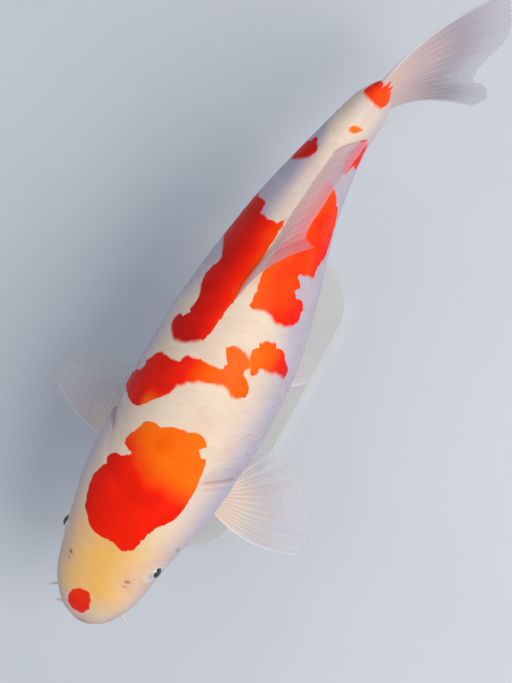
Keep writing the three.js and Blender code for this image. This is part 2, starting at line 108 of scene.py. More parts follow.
back_height = through(
    (0, 6), (0.04, 17), (0.09, 28), (0.15, 42), (0.22, 56.5), (0.30, 67), (0.40, 74.5),
    (0.48, 76), (0.56, 73), (0.66, 62), (0.78, 46), (0.88, 35), (0.95, 31), (1.02, 32),
)
belly_depth = through(
    (0, 36), (0.04, 45), (0.10, 52), (0.18, 60), (0.27, 68), (0.38, 74), (0.48, 75.5),
    (0.58, 70), (0.68, 58.5), (0.78, 44), (0.87, 33.5), (0.95, 29.5), (1.02, 31),
)
half_width = through(
    (0, 31), (0.05, 34), (0.11, 39.2), (0.18, 46), (0.25, 53), (0.33, 56), (0.42, 57.7),
    (0.52, 56.3), (0.62, 50), (0.72, 40), (0.82, 29.3), (0.91, 20.8), (1.02, 14),
)
widest_level = through((0, -18), (0.06, -14), (0.13, -8), (0.25, -4), (0.4, 0), (0.7, 2), (1.02, 0))
back_roundness = through(
    (0, 2.2), (0.1, 2.45), (0.2, 2.35), (0.35, 2.1), (0.6, 1.95), (0.8, 1.9), (1.02, 2.1),
)
belly_roundness = through((0, 2.2), (0.25, 2.3), (0.5, 2.25), (0.7, 2.1), (1.02, 2.1))
heading = through(
    (0, 3.4), (0.12, 1), (0.2, -1.4), (0.3, -3.4), (0.4, -1.7), (0.5, 0.7), (0.6, 3.1), (0.7, 3),
    (0.8, -2.5), (0.88, -6), (0.95, -11.9), (1.02, -22.3),
)
lean = through((0, 0), (0.2, 0.5), (0.35, 2.7), (0.5, 4), (0.65, 2), (0.8, 0), (0.9, 1), (1.02, 3))

SPINE_STEPS = 400


def spine_line():
    """The spine in plan, which turns with its heading from the snout on."""
    step = SPINE_LENGTH * SPINE_END / SPINE_STEPS
    turns = np.radians(heading(SPINE_END * (np.arange(SPINE_STEPS) + 0.5) / SPINE_STEPS))
    x = SNOUT_X + np.r_[0, np.cumsum(np.cos(turns) * step)]
    y = SNOUT_Y + np.r_[0, np.cumsum(np.sin(turns) * step)]
    return x, y


SPINE_X, SPINE_Y = spine_line()


def vectors(x, y, z):
    return np.stack(np.broadcast_arrays(x, y, z), -1)


def station_frame(station):
    """The place of a station and its directions: along the fish, to its left, and up its back."""
    station = np.asarray(station, float)
    at = np.clip(station, 0, SPINE_END) / SPINE_END * SPINE_STEPS
    index = np.arange(SPINE_STEPS + 1)
    origin = vectors(np.interp(at, index, SPINE_X), np.interp(at, index, SPINE_Y), AXIS_HEIGHT)
    turn, tip = np.radians(heading(station)), np.radians(lean(station))[..., None]
    along = vectors(np.cos(turn), np.sin(turn), 0)
    level = vectors(np.sin(turn), -np.cos(turn), 0)
    vertical = np.array([0, 0, 1.0])
    up = vertical * np.cos(tip) - level * np.sin(tip)
    left = level * np.cos(tip) + vertical * np.sin(tip)
    return origin, along, left, up


def opening(distance, rounding):
    """How far a section has opened: 0 at an end and 1 past the rounding, along a quarter circle."""
    rest = 1 - clamp(distance / rounding)
    return np.sqrt(1 - rest * rest)


def body_point(station, angle):
    """A point on the smooth body at a station and an angle from the ridge, positive to the fish's left."""
    station, angle = np.broadcast_arrays(np.asarray(station, float), np.asarray(angle, float))
    origin, _, left, up = station_frame(station)
    nose = opening(station, SNOUT_ROUNDING)
    tail = opening(SPINE_END - station, TAIL_ROUNDING)
    tail_height = 0.9 + 0.1 * tail
    level = SNOUT_LEVEL + (widest_level(station) - SNOUT_LEVEL) * nose
    top = SNOUT_LEVEL + (back_height(station) * tail_height - SNOUT_LEVEL) * nose
    bottom = SNOUT_LEVEL + (-belly_depth(station) * tail_height - SNOUT_LEVEL) * nose
    sine, cosine = np.sin(angle), np.cos(angle)
    power = 2 / np.where(cosine > 0, back_roundness(station), belly_roundness(station))
    side = half_width(station) * nose * tail * np.sign(sine) * np.abs(sine) ** power
    reach = np.where(cosine > 0, top - level, level - bottom)
    height = level + reach * np.sign(cosine) * np.abs(cosine) ** power
    return origin + left * side[..., None] + up * height[..., None]


# ---------------------------------------------------------------- small helpers


def mix(a, b, share):
    return a + (b - a) * share


def clamp(value):
    return np.clip(value, 0, 1)


def ease(low, high, value):
    """A smooth rise from 0 at low to 1 at high. With low above high it falls from 1 to 0."""
    t = clamp((value - low) / (high - low))
    return t * t * (3 - 2 * t)


def bump(distance, width):
    """A smooth hill, 1 at no distance and nearly nothing from two widths away."""
    return np.exp(-((distance / width) ** 2))


def unit(direction):
    return direction / np.maximum(np.linalg.norm(direction, axis=-1, keepdims=True), 1e-12)


def full_turn(count):
    return np.linspace(0, 2 * np.pi, count, endpoint=False)


def ripple(x, y, size, seed):
    """Smooth irregular waves about as long as size, from -1 to 1."""
    source = np.random.default_rng(seed)
    total = 0
    for _ in range(7):
        turn = source.uniform(0, 2 * np.pi)
        length = size * source.uniform(0.6, 1.6)
        phase = source.uniform(0, 6.3)
        total = total + np.sin((x * np.cos(turn) + y * np.sin(turn)) * 2 * np.pi / length + phase)
    return total / 7 * 1.5


def marched(step_at, end):
    """Places from 0 to end, spaced by a step that changes on the way."""
    places = [0.0]
    while places[-1] < end:
        places.append(places[-1] + float(step_at(places[-1])))
    return np.array(places) * end / places[-1]


def smooth_line(points, steps=8, closed=False):
    """A smooth curve through a few points, as a list of close points (Catmull-Rom)."""
    knots = np.array(points, float)
    if closed:
        knots = np.vstack([knots[-1:], knots, knots[:2]])
    else:
        knots = np.vstack([2 * knots[0] - knots[1], knots, 2 * knots[-1] - knots[-2]])
    t = np.arange(steps)[:, None] / steps
    pieces = []
    for a, b, c, d in zip(knots, knots[1:], knots[2:], knots[3:]):
        slope, curve, twist = c - a, 2 * a - 5 * b + 4 * c - d, 3 * b - a - 3 * c + d
        pieces.append(0.5 * (2 * b + slope * t + curve * t**2 + twist * t**3))
    line = np.vstack(pieces)
    return line if closed else np.vstack([line, knots[-2:-1]])


def line_distance(x, y, line, closed=False):
    """How far each point is from a line, and whether a closed line goes round it."""
    starts = line if closed else line[:-1]
    ends = np.roll(line, -1, axis=0) if closed else line[1:]
    nearest = np.full(np.shape(x), 1e9)
    inside = np.zeros(np.shape(x), bool)
    for (ax, ay), (bx, by) in zip(starts, ends):
        dx, dy = bx - ax, by - ay
        t = clamp(((x - ax) * dx + (y - ay) * dy) / (dx * dx + dy * dy + 1e-12))
        nearest = np.minimum(nearest, np.hypot(x - ax - t * dx, y - ay - t * dy))
        if ay != by:
            crosses = ((ay > y) != (by > y)) & (x < ax + (y - ay) * dx / dy)
            inside ^= crosses
    return nearest, inside


def lookup(table, row, column):
    """Reads a table between its entries."""
    row = np.clip(row, 0, table.shape[0] - 1.001)
    column = np.clip(column, 0, table.shape[1] - 1.001)
    i, j = row.astype(int), column.astype(int)
    u, v = row - i, column - j
    near = table[i, j] * (1 - v) + table[i, j + 1] * v
    far = table[i + 1, j] * (1 - v) + table[i + 1, j + 1] * v
    return near * (1 - u) + far * u


# ---------------------------------------------------------------- the way round the body

BODY_LENGTH = SPINE_LENGTH * SPINE_END
GIRTH_STATIONS, GIRTH_ANGLES, GIRTH_SHARES = 300, 400, 400


def girth_tables():
    """At many stations: the way round to many angles, and the angle at each share of the whole way."""
    stations = np.linspace(0.0012, SPINE_END - 0.0012, GIRTH_STATIONS)
    angles = np.linspace(0, np.pi, GIRTH_ANGLES)
    ring = body_point(stations[:, None], angles[None, :])
    way_round = np.zeros((GIRTH_STATIONS, GIRTH_ANGLES))
    way_round[:, 1:] = np.cumsum(np.linalg.norm(np.diff(ring, axis=1), axis=-1), axis=1)
    shares = np.linspace(0, 1, GIRTH_SHARES)
    table = np.stack([np.interp(shares * row[-1], row, angles) for row in way_round])
    return stations, angles, way_round, table


STATIONS, ANGLES, WAY_ROUND, ANGLE_TABLE = girth_tables()
HALF_GIRTH = WAY_ROUND[:, -1]


def half_girth(along):
    """The way from the ridge round to the belly."""
    return np.interp(along / SPINE_LENGTH, STATIONS, HALF_GIRTH)


def angle_of(along, share):
    """The angle from the ridge at a distance along the spine and a share of the way round."""
    row = (along / SPINE_LENGTH - STATIONS[0]) / (STATIONS[1] - STATIONS[0])
    wrapped = (share + 1) % 2 - 1
    side = np.where(wrapped >= 0, 1, -1)
    return side * lookup(ANGLE_TABLE, row, np.abs(wrapped) * (GIRTH_SHARES - 1))


def share_of(station, angle):
    """The share of the way round of a station's angle."""
    row = np.array([np.interp(angle, ANGLES, line) for line in WAY_ROUND]) / HALF_GIRTH
    return float(np.interp(station, STATIONS, row))


def smooth_body(along, share):
    """The body without its relief, down to a point at the tip of the snout."""
    station = np.clip(along / SPINE_LENGTH, 1e-7, STATIONS[-1])
    return body_point(station, angle_of(along, share))


def surface(along, share):
    """Points of the smooth body, their outward directions and their heights above the spine."""
    along, share = np.broadcast_arrays(np.asarray(along, float), np.asarray(share, float))
    point = smooth_body(along, share)
    step, turn = np.clip(0.5 * along, 1e-4, 0.6), 0.004
    ahead, behind = smooth_body(along + step, share), smooth_body(along - step, share)
    over, under = smooth_body(along, share + turn), smooth_body(along, share - turn)
    outward = unit(np.cross(over - under, ahead - behind))
    origin, _, _, up = station_frame(along / SPINE_LENGTH)
    return point, outward, ((point - origin) * up).sum(-1)


def root_point(station, angle, sunk):
    """A point just under the skin, as the fins and feelers start."""
    point = body_point(station, angle)
    origin = station_frame(station)[0]
    return point + unit(origin - point) * sunk


# ---------------------------------------------------------------- the folds of the skin

# Lines on the head are pairs of the distance along the spine and the height over it. NAPE_EDGE follows
# points of the photograph that a scratch program carried over to the body.
COAT_DEPTH = 1.0        # room for the scales between the skin and the body's outline
NAPE_EDGE = through(    # where the bare head ends at each height: the gill cover's edge and the nape
    (-100, 92), (-60, 104), (-42, 116), (-30, 127), (-20, 141), (-8, 157), (8, 167), (24, 165), (40, 161),
    (50, 156), (58, 138), (64, 119), (100, 112),
)
LIP_LINE = through((0, -17.6), (8, -20), (16, -23.5), (22, -27.5))
LIP_END = 22.0
CHEEK_LINE = smooth_line([(98, 20), (94, 2), (91, -14), (84, -30), (70, -42), (54, -47)])
ORBIT_LINE = smooth_line([(60, 6), (64, -6), (74, -13), (86, -11), (95, -2)])
PLATE_LINE = smooth_line([(97, -20), (108, -22), (120, -22), (132, -19), (144, -12)])
NOSTRIL_STATION, NOSTRIL_ANGLE = 0.116, 0.60
EYE_STATION, EYE_ANGLE, EYE_RADIUS, EYE_BULGE = 0.153, 1.15, 7.4, 3.1


def eye_centre(side):
    return root_point(EYE_STATION, side * EYE_ANGLE, EYE_RADIUS - EYE_BULGE)


def eye_outward(side):
    _, along, left, up = station_frame(EYE_STATION)
    return unit(left * side * 0.86 + up * 0.52 + along * 0.06)


def coat_bed(along, level):
    """How deep the scaled skin lies under the body's outline, with a step behind the gill cover."""
    behind = along - NAPE_EDGE(level)
    flap = ease(56, 44, level) * ease(-62, -46, level)
    step = 2.4 * flap * bump(np.maximum(behind, 0), 12)
    return (COAT_DEPTH + step) * ease(BODY_LENGTH + 4, BODY_LENGTH - 14, along)


def bed_start(along, level):
    """How the skin drops to the scales' bed: by a free edge on the gill cover and a soft dip elsewhere."""
    behind = along - NAPE_EDGE(level)
    on_cover = ease(54, 44, level) * ease(-66, -54, level)
    return mix(ease(-24, 3, behind), ease(-0.8, 0.9, behind), on_cover)


def mouth_relief(along, level):
    """The closed mouth between its two lips, and the grooves that part the lips from the snout and chin."""
    above = level - LIP_LINE(along)
    near = ease(LIP_END + 5, LIP_END - 3, along)
    muzzle = -1.1 * ease(9, 2, along)
    crease = -2.6 * bump(above, 0.8)
    lips = 1.0 * bump(above - 2.5, 1.7) + 1.0 * bump(above + 2.7, 1.9)
    grooves = -0.7 * bump(above - 6.2, 1.2) - 0.7 * bump(above + 6.6, 1.3)
    corner = -0.8 * bump(along - mix(25.5, 15, clamp((level + 28) / 22)), 1.2) * ease(-31, -27, level)
    corner = corner * ease(-4, -9, level)
    return muzzle + near * (crease + lips + grooves) + corner


def near_nostril(along, share):
    """How far behind and beside the middle of the nearer nostril each place is."""
    middle = share_of(NOSTRIL_STATION, NOSTRIL_ANGLE)
    return along - NOSTRIL_STATION * SPINE_LENGTH, (np.abs(share) - middle) * half_girth(along)


def outside_eye(point):
    """How far outside the nearer eyeball each point is."""
    from_centres = [np.linalg.norm(point - eye_centre(side), axis=-1) for side in (LEFT, RIGHT)]
    return np.minimum(*from_centres) - EYE_RADIUS


def nostril_relief(along, share):
    """Each nostril is two pits with a low flap of skin between them."""
    behind, beside = near_nostril(along, share)
    rear_pit = np.hypot((behind - 2.0) / 1.5, beside / 2.1)
    front_pit = np.hypot((behind + 2.3) / 1.1, beside / 1.4)
    flap = np.hypot((behind + 0.2) / 0.9, beside / 2.4)
    return -2.3 * bump(rear_pit, 1) - 1.5 * bump(front_pit, 1) + 1.1 * bump(flap, 1)


def eye_relief(point):
    """A soft rim that meets the eyeball, and the shallow grooves round it. The skin drops away under it."""
    outside = outside_eye(point)
    rim = 0.22 * bump(outside - 0.3, 0.7) - 0.32 * bump(outside - 1.6, 0.7)
    pad = 0.25 * bump(outside - 4.0, 1.8) - 0.2 * bump(outside - 7.5, 1.5)
    return rim + pad - 3.0 * ease(-0.3, -2.0, outside)


def gill_relief(along, level, share):
    """The bones of the cheek and gill cover under the skin, its soft edge, and the folds of the throat."""
    behind = along - NAPE_EDGE(level)
    flap = ease(54, 44, level) * ease(-60, -48, level)
    edge = flap * (-0.5 * bump(behind + 5.5, 1.2) + 0.25 * bump(behind + 2.2, 1.6))
    cheek = -0.9 * bump(line_distance(along, level, CHEEK_LINE)[0], 1.5)
    orbit = -0.35 * bump(line_distance(along, level, ORBIT_LINE)[0], 1.4)
    plate = -0.45 * bump(line_distance(along, level, PLATE_LINE)[0], 1.1)
    from_belly = (1 - np.abs(share)) * half_girth(along)
    folds = 0
    for fold in range(4):
        line = 84 - 9 * fold + 0.6 * from_belly
        folds = folds - 0.7 * bump(along - line, 1.3) * ease(3, 9, from_belly) * ease(58, 40, from_belly)
    chin = -0.6 * bump(from_belly, 2.6) * ease(18, 30, along) * ease(86, 70, along)
    return edge + cheek + orbit + plate + folds + chin


def head_relief(point, along, level, share):
    """What stands out of or into the smooth body in front of the scales. Negative is inwards."""
    relief = mouth_relief(along, level) + nostril_relief(along, share)
    relief = relief + eye_relief(point) + gill_relief(along, level, share)
    unevenness = 0.12 * ripple(along, share * half_girth(along), 14, 3)
    on_head = ease(4, -3, along - NAPE_EDGE(level))
    return (relief + unevenness - 0.12) * on_head


# ---------------------------------------------------------------- markings

# Red areas as closed outlines in millimetres: along the spine, and round from the ridge with + to the
# fish's left. The tone is 0 for deep red and 1 for orange. A scratch program worked these distances out from
# points picked on the photograph.
MARKINGS = {
    "snout_spot": (0.4, [
        (36, -6), (36, 1), (31, 5.4), (22, 5.5), (14, 2), (12.5, -3), (14, -9), (18.5, -13), (28.5, -12.3),
    ]),
    "head_patch": (0.34, [
        (108, -35), (97, -30), (91, -23), (85, -16), (84, -6), (85.3, 2.5), (83, 9.5), (84.3, 17),
        (90.6, 21.5), (101, 24), (112, 28.5), (122, 37.5), (132, 42), (142, 43.5), (152, 44.5), (171, 40.5),
        (181, 34), (190, 22), (189, 9), (178, -15), (155.7, -24.5), (151, -14), (141, -25.7), (121, -36.5),
    ]),
    "shoulder_band": (0.28, [
        (193, -84), (199, -72), (209, -55), (217, -49), (227, -38), (229, -24), (230, -15), (235, -11),
        (236, -4), (239, 4), (239, 14), (243, 18), (251, 12), (256, 14), (256, 24), (253, 30), (248, 35),
        (242, 33), (236, 42), (229, 45), (225, 40), (223, 33), (227, 26), (226, 18), (221, 5), (212, -6),
        (203, -10), (194, -19), (184, -28), (182, -38), (185, -52), (188, -70), (190, -84),
    ]),
    "shoulder_drop": (0.28, [
        (252, 32), (262, 30), (268, 36), (271, 47), (268, 60), (262, 67), (258, 77), (251, 78), (252, 66),
        (250, 53), (250, 43), (246, 45), (243, 40), (247, 36),
    ]),
    # The deep tones of this patch and of the right fleck are partly painted shade on the fish's right side.
    "right_patch": (0.05, [
        (253, -44), (240, -28), (248, -8), (262, -3), (279, -1.5), (302, 2.5), (332, 2), (358, 2), (350, -5),
        (352, -14), (354, -20), (361, -20), (365, -27), (366, -40), (366, -54), (352, -64), (338, -76),
        (325, -47), (311, -32), (294, -39), (272, -29),
    ]),
    "left_patch": (0.28, [
        (286, 12), (300, 10), (315, 7), (334, 7), (358, 5), (392, 8), (401, 18), (395, 33), (385, 48),
        (371, 55), (350, 59), (337, 52), (329, 53), (326, 44), (324, 35), (317, 38), (308, 47), (298, 58),
        (290, 57), (285, 47), (284, 37), (288, 25),
    ]),
    "right_fleck": (0.0, [(402, -30), (413, -38), (420, -34), (424, -21), (420, -12), (414, -7), (406, -13)]),
    "orange_fleck": (0.9, [(442, 4), (448.7, 6), (451.6, 14), (444, 11)]),
    "left_fleck": (0.1, [
        (447, 24), (444, 36), (427, 42), (423, 30), (415, 27), (415, 21), (422, 17), (436, 18),
    ]),
    "tail_patch": (0.4, [(473, -9), (486, -8), (491, 3), (490, 14), (485, 21), (474, 16), (470, 4)]),
}
MAP_OFFSET = 232            # the marking map reaches this far round from the ridge, in 1 mm cells


def marking_maps():
    """How far inside the nearest red outline each place is, and that outline's tone, in 1 mm cells."""
    along, offset = np.mgrid[0:int(BODY_LENGTH) + 4, -MAP_OFFSET:MAP_OFFSET + 1].astype(float)
    ragged = 0.765 * ripple(along, offset, 9, 11) + 0.595 * ripple(along, offset, 4, 12)
    depth, tone = np.full(along.shape, -1e9), np.zeros(along.shape)
    for marking_tone, outline in MARKINGS.values():
        distance, inside = line_distance(along, offset, smooth_line(outline, 6, closed=True), closed=True)
        signed = np.where(inside, distance, -distance)
        tone = np.where(signed > depth, marking_tone, tone)
        depth = np.maximum(depth, signed)
    return depth + ragged, tone


MARK_DEPTH, MARK_TONE = marking_maps()


def marking_depth(along, offset):
    return lookup(MARK_DEPTH, along, offset + MAP_OFFSET)


def redness(along, offset, scale_along=None, scale_offset=None):
    """Under -1 where the skin is white and over 1 where it is red. On scales the rear edge of a patch is cut
    along them, its sides follow them a little, and its front edge fades."""
    depth = marking_depth(along, offset)
    if scale_along is None:
        return np.clip(depth / 0.45, -8, 8)
    whole = marking_depth(scale_along, scale_offset)
    entering = marking_depth(scale_along + 5, scale_offset) - marking_depth(scale_along - 5, scale_offset)
    blurred = depth / 2.0
    crisp = mix(depth, whole, 0.6 * ease(-2, -7, entering)) / 0.45
    fading = ease(1.5, 6, entering) * ease(196, 206, along)
    return np.clip(mix(crisp, blurred, fading), -8, 8)


def warmth_and_shade(along, offset):
    """0 for deep red and 1 for orange, more orange behind the head. Painted light makes it warmest over the
    back, along the ridge and towards the left; painted shade makes it deeper down the flanks and on the
    right of the head.
    """
    tone = lookup(MARK_TONE, np.round(along), np.round(offset + MAP_OFFSET))
    # painted light: lighter orange over the lit back and towards the lit left side
    lit_back_warmth = 0.5 * ease(-16, 14, offset) * ease(78, 40, offset) * ease(195, 215, along)
    lit_back_warmth = lit_back_warmth * mix(1, 0.4, ease(262, 285, along))
    # painted light: lighter orange along the lit ridge over the rear
    lit_ridge_warmth = 0.35 * bump(offset, 17) * ease(235, 280, along) * ease(420, 390, along)
    rear_of_head = 0.55 * ease(128, 160, along - 0.6 * np.maximum(0, 8 - offset)) * ease(205, 190, along)
    rear_of_head = rear_of_head * ease(-34, -24, offset)
    # painted shade: deeper red down both flanks and on the right side of the head
    flank_shade_red = -0.25 * ease(28, 70, np.abs(offset - 8))
    head_right_shade = -0.12 * ease(-8, -34, offset) * ease(190, 150, along)
    clouds = 0.06 * ripple(along, offset, 30, 5)
    return clamp(tone + lit_back_warmth + lit_ridge_warmth + rear_of_head + (flank_shade_red + head_right_shade) + clouds)


def amber(along, offset):
    """The yellow of the crown between the eyes."""
    crown = bump(offset - 1, 34) * ease(14, 42, along) * ease(118, 82, along)
    wide = 0.22 * bump(offset - 1, 62) * ease(0, 30, along) * ease(150, 90, along)
    return clamp(0.78 * crown * (1 + 0.06 * ripple(along, offset, 25, 21)) + wide)


def flank_tint_and_shade(along, share):
    """The lavender grey of the flanks, partly their own tint and partly painted shade and painted reflection
    of blue water, strongest on the right flank. It fades to cream over the back and to white on the belly.
    """
    round_from_ridge = np.abs(share)
    rear = ease(240, 360, along) * ease(455, 420, along)
    flank = ease(mix(0.16, 0.02, rear), mix(0.42, 0.14, rear), round_from_ridge)
    # painted shade: the right flank is darker and cooler over the front of the body
    flank = np.maximum(flank, ease(-0.12, -0.34, share) * ease(300, 240, along))
    flank = flank * mix(1, 0.45, ease(0.6, 0.95, round_from_ridge)) * mix(1, 0.5, ease(430, 470, along))
    tail_end = 0.3 * bump(along - 380, 55) + 0.25 * ease(430, 470, along)
    return clamp(flank + tail_end * (1 - flank))


def blush(point, along, share, level):
    """Pink where blood shows: the snout's tip, nostrils, cheeks, lips and the edge of the gill cover."""
    behind, beside = near_nostril(along, share)
    pink = 0.55 * ease(26, 4, along)
    pink = pink + 0.5 * bump(np.hypot(behind, 0.9 * beside), 5.5)
    pink = pink + 0.25 * bump(outside_eye(point) + EYE_RADIUS - 19, 7)
    pink = pink + 0.5 * bump(level - LIP_LINE(along), 3.5) * ease(LIP_END + 6, LIP_END - 2, along)
    pink = pink + 0.15 * ease(120, 150, along) * bump(along - NAPE_EDGE(level), 4) * ease(56, 44, level)
    return clamp(pink + 0.18 * ripple(along, share * half_girth(along), 40, 31))


def eye_pallor(point):
    """The pale ring of skin round each eye."""
    return 0.5 * ease(6, 0.5, outside_eye(point))


# ---------------------------------------------------------------- meshes


def grid_faces(rows, columns, closed=False):
    """The quads of a grid of points, row by row, and where each of their corners lies from 0 to 1."""
    spans = columns if closed else columns - 1
    i, j = (part.ravel() for part in np.mgrid[0:rows - 1, 0:spans])
    corners = [(i, j), (i + 1, j), (i + 1, j + 1), (i, j + 1)]
    faces = np.stack([a * columns + b % columns for a, b in corners], -1)
    places = np.stack([np.stack([a / (rows - 1), b / spans], -1) for a, b in corners], 1)
    return faces, places


def add_object(name, data):
    made = bpy.data.objects.new(name, data)
    bpy.context.scene.collection.objects.link(made)
    return made


def make_mesh(name, points, quads, material, places=None, caps=(), sharp=180, **fields):
    """A smooth-shaded piece from points in millimetres, with hard edges where faces meet at over sharp
    degrees. places gives every quad corner's spot on the OFBake map, caps are extra faces, and each field
    becomes a number at every point for the material to read."""
    mesh = bpy.data.meshes.new(name)
    faces = quads.tolist() + [list(cap) for cap in caps]
    mesh.from_pydata((points.reshape(-1, 3) * MM).tolist(), [], faces)
    if places is not None:
        places = places.reshape(-1, 2)
        cap_corners = [int(np.argmax(quads.ravel() == point)) for cap in caps for point in cap]
        spots = np.concatenate([places, places[cap_corners]]).astype(np.float32)
        mesh.uv_layers.new(name="OFBake").data.foreach_set("uv", spots.ravel())
    for field, values in fields.items():
        layer = mesh.attributes.new(field, "FLOAT", "POINT")
        layer.data.foreach_set("value", np.asarray(values, np.float32).ravel())
    mesh.shade_smooth()
    if sharp < 180:
        mesh.set_sharp_from_angle(angle=np.radians(sharp))
    mesh.materials.append(material)
    return add_object(name, mesh)


def turned_outwards(points, quads):
    """The quads, all turned over if the closed form that they make is inside out."""
    a, b, c, d = (points.reshape(-1, 3)[quads[:, k]] for k in range(4))
    volume = (np.cross(b, c) * a).sum() + (np.cross(c, d) * a).sum()
    return quads if volume > 0 else quads[:, ::-1]


def make_tube(name, rings, material, mapped=True, sharp=180, **fields):
    """Rings of points joined into one closed piece, with a flat cap at either end."""
    rows, columns = rings.shape[:2]
    quads, places = grid_faces(rows, columns, closed=True)
    caps = [np.arange(columns)[::-1], np.arange(columns) + (rows - 1) * columns]
    turned = turned_outwards(rings, quads)
    if turned is not quads:
        places, caps = places[:, ::-1], [cap[::-1] for cap in caps]
    return make_mesh(name, rings, turned, material, places if mapped else None, caps, sharp, **fields)


def plate_faces(rows, columns):
    """The quads of a closed plate: a grid of points, an equal one behind it, and the rim between them."""
    size = rows * columns
    cells, _ = grid_faces(rows, columns)
    rim = np.concatenate([
        np.arange(columns), np.arange(2, rows + 1) * columns - 1,
        size - 2 - np.arange(columns - 1), (rows - 2 - np.arange(rows - 2)) * columns,
    ])
    after = np.roll(rim, -1)
    sides = np.stack([rim, after, after + size, rim + size], -1)
    return np.concatenate([cells, cells[:, ::-1] + size, sides])


def finished(piece, slot, *nodes):
    """Puts the piece on the fish and lets it stand for some solids. The slot is not used."""
    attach(piece, "root")
    if nodes:
        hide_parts(*nodes)


# ---------------------------------------------------------------- materials


class Finish:
    """A procedural material under construction: a Principled shader and the nodes that feed it."""

    def __init__(self, name, **constants):
        self.material = bpy.data.materials.new(name)
        self.material.use_nodes = True
        self.tree = self.material.node_tree
        self.shader = self.tree.nodes["Principled BSDF"]
        self.use(**constants)

    def node(self, kind, inputs=None, **settings):
        made = self.tree.nodes.new(kind)
        for key, value in settings.items():
            setattr(made, key, value)
        for key, value in (inputs or {}).items():
            self.feed(made.inputs[key], value)
        return made

    def feed(self, socket, value):
        if isinstance(value, bpy.types.NodeSocket):
            self.tree.links.new(value, socket)
        else:
            socket.default_value = value

    def use(self, **sockets):
        for socket, value in sockets.items():
            self.feed(self.shader.inputs[socket.replace("_", " ")], value)
        return self.material

    def place(self):
        return self.node("ShaderNodeTexCoord").outputs["Object"]

    def field(self, name):
        return self.node("ShaderNodeAttribute", attribute_name=name).outputs["Fac"]

    def noise(self, scale, detail=3.0, stretch=None):
        place = self.place()
        if stretch:
            place = self.node("ShaderNodeMapping", {"Vector": place, "Scale": stretch}).outputs[0]
        inputs = {"Vector": place, "Scale": scale, "Detail": detail}
        return self.node("ShaderNodeTexNoise", inputs).outputs["Fac"]

    def maths(self, operation, *values, **settings):
        inputs = dict(enumerate(values))
        return self.node("ShaderNodeMath", inputs, operation=operation, **settings).outputs[0]

    def times(self, a, b):
        return self.maths("MULTIPLY", a, b)

    def waves(self, value, rate):
        return self.maths("SINE", self.times(value, rate))

    def spread(self, value, low=0.3, high=0.7, to_low=0.0, to_high=1.0):
        inputs = {"Value": value, "From Min": low, "From Max": high, "To Min": to_low, "To Max": to_high}
        return self.node("ShaderNodeMapRange", inputs, interpolation_type="SMOOTHSTEP").outputs[0]

    def blend(self, share, a, b, kind="MIX"):
        made = self.node("ShaderNodeMix", data_type="RGBA", blend_type=kind)
        for socket, value in ((made.inputs[0], share), (made.inputs[6], a), (made.inputs[7], b)):
            self.feed(socket, value)
        return made.outputs[2]

    def shade(self, share, colour, tone):
        return self.blend(share, colour, tone, "MULTIPLY")

    def ramp(self, value, *stops):
        made = self.node("ShaderNodeValToRGB", {"Fac": value})
        elements = made.color_ramp.elements
        while len(elements) < len(stops):
            elements.new(0.5)
        for element, (position, colour) in zip(elements, stops):
            element.position, element.color = position, colour
        return made.outputs["Color"]

    def relief(self, height, distance, strength=1.0, under=None):
        inputs = {"Height": height, "Distance": distance, "Strength": strength}
        if under is not None:
            inputs["Normal"] = under
        return self.node("ShaderNodeBump", inputs).outputs["Normal"]

    def see_through(self, opacity):
        """Lets light straight through where opacity is under 1."""
        output = self.tree.nodes["Material Output"]
        clear = self.node("ShaderNodeBsdfTransparent")
        mixed = self.node("ShaderNodeMixShader", {0: opacity, 1: clear.outputs[0], 2: self.shader.outputs[0]})
        self.tree.links.new(mixed.outputs[0], output.inputs["Surface"])
        return self.material


CREAM = (0.82, 0.665, 0.51, 1)
# A lavender grey for the flanks, partly their own tint and partly painted shade and painted reflection of
# blue water.
FLANK_TINT_AND_SHADE = (0.47, 0.445, 0.54, 1)
AMBER = (0.95, 0.52, 0.135, 1)
PINK = (0.74, 0.42, 0.36, 1)
PALE = (0.70, 0.66, 0.67, 1)
# The deepest red: the fish's own deep red, also used as painted shade on its right side and down its flanks.
DEEP_RED_AND_SHADE = (0.62, 0.005, 0.001, 1)
RED = (0.97, 0.014, 0.0005, 1)
ORANGE = (1.0, 0.18, 0.002, 1)
TAIL_RED = (0.98, 0.035, 0.001, 1)
DAMP = {"Coat_Weight": 0.02, "Coat_Roughness": 0.25, "Specular_IOR_Level": 0.08}


def fish_colour(finish):
    """White, amber, pink and red skin, from the fields that the skin and the scales both carry. The flanks
    and the reds carry painted shade.
    """
    clouds = finish.noise(28.0, 4.0)
    white = finish.blend(finish.field("cool"), CREAM, FLANK_TINT_AND_SHADE)
    white = finish.blend(finish.spread(clouds, 0.35, 0.7, 0.0, 0.10), white, PINK)
    white = finish.blend(finish.field("amber"), white, AMBER)
    white = finish.blend(finish.field("blush"), white, PINK)
    white = finish.blend(finish.field("pallor"), white, PALE)
    heat = finish.maths("ADD", finish.field("warm"), finish.spread(clouds, to_low=-0.05, to_high=0.05))
    red = finish.ramp(heat, (0.0, DEEP_RED_AND_SHADE), (0.38, RED), (1.0, ORANGE))
    return finish.blend(finish.spread(finish.field("red"), -1.0, 1.0), white, red)


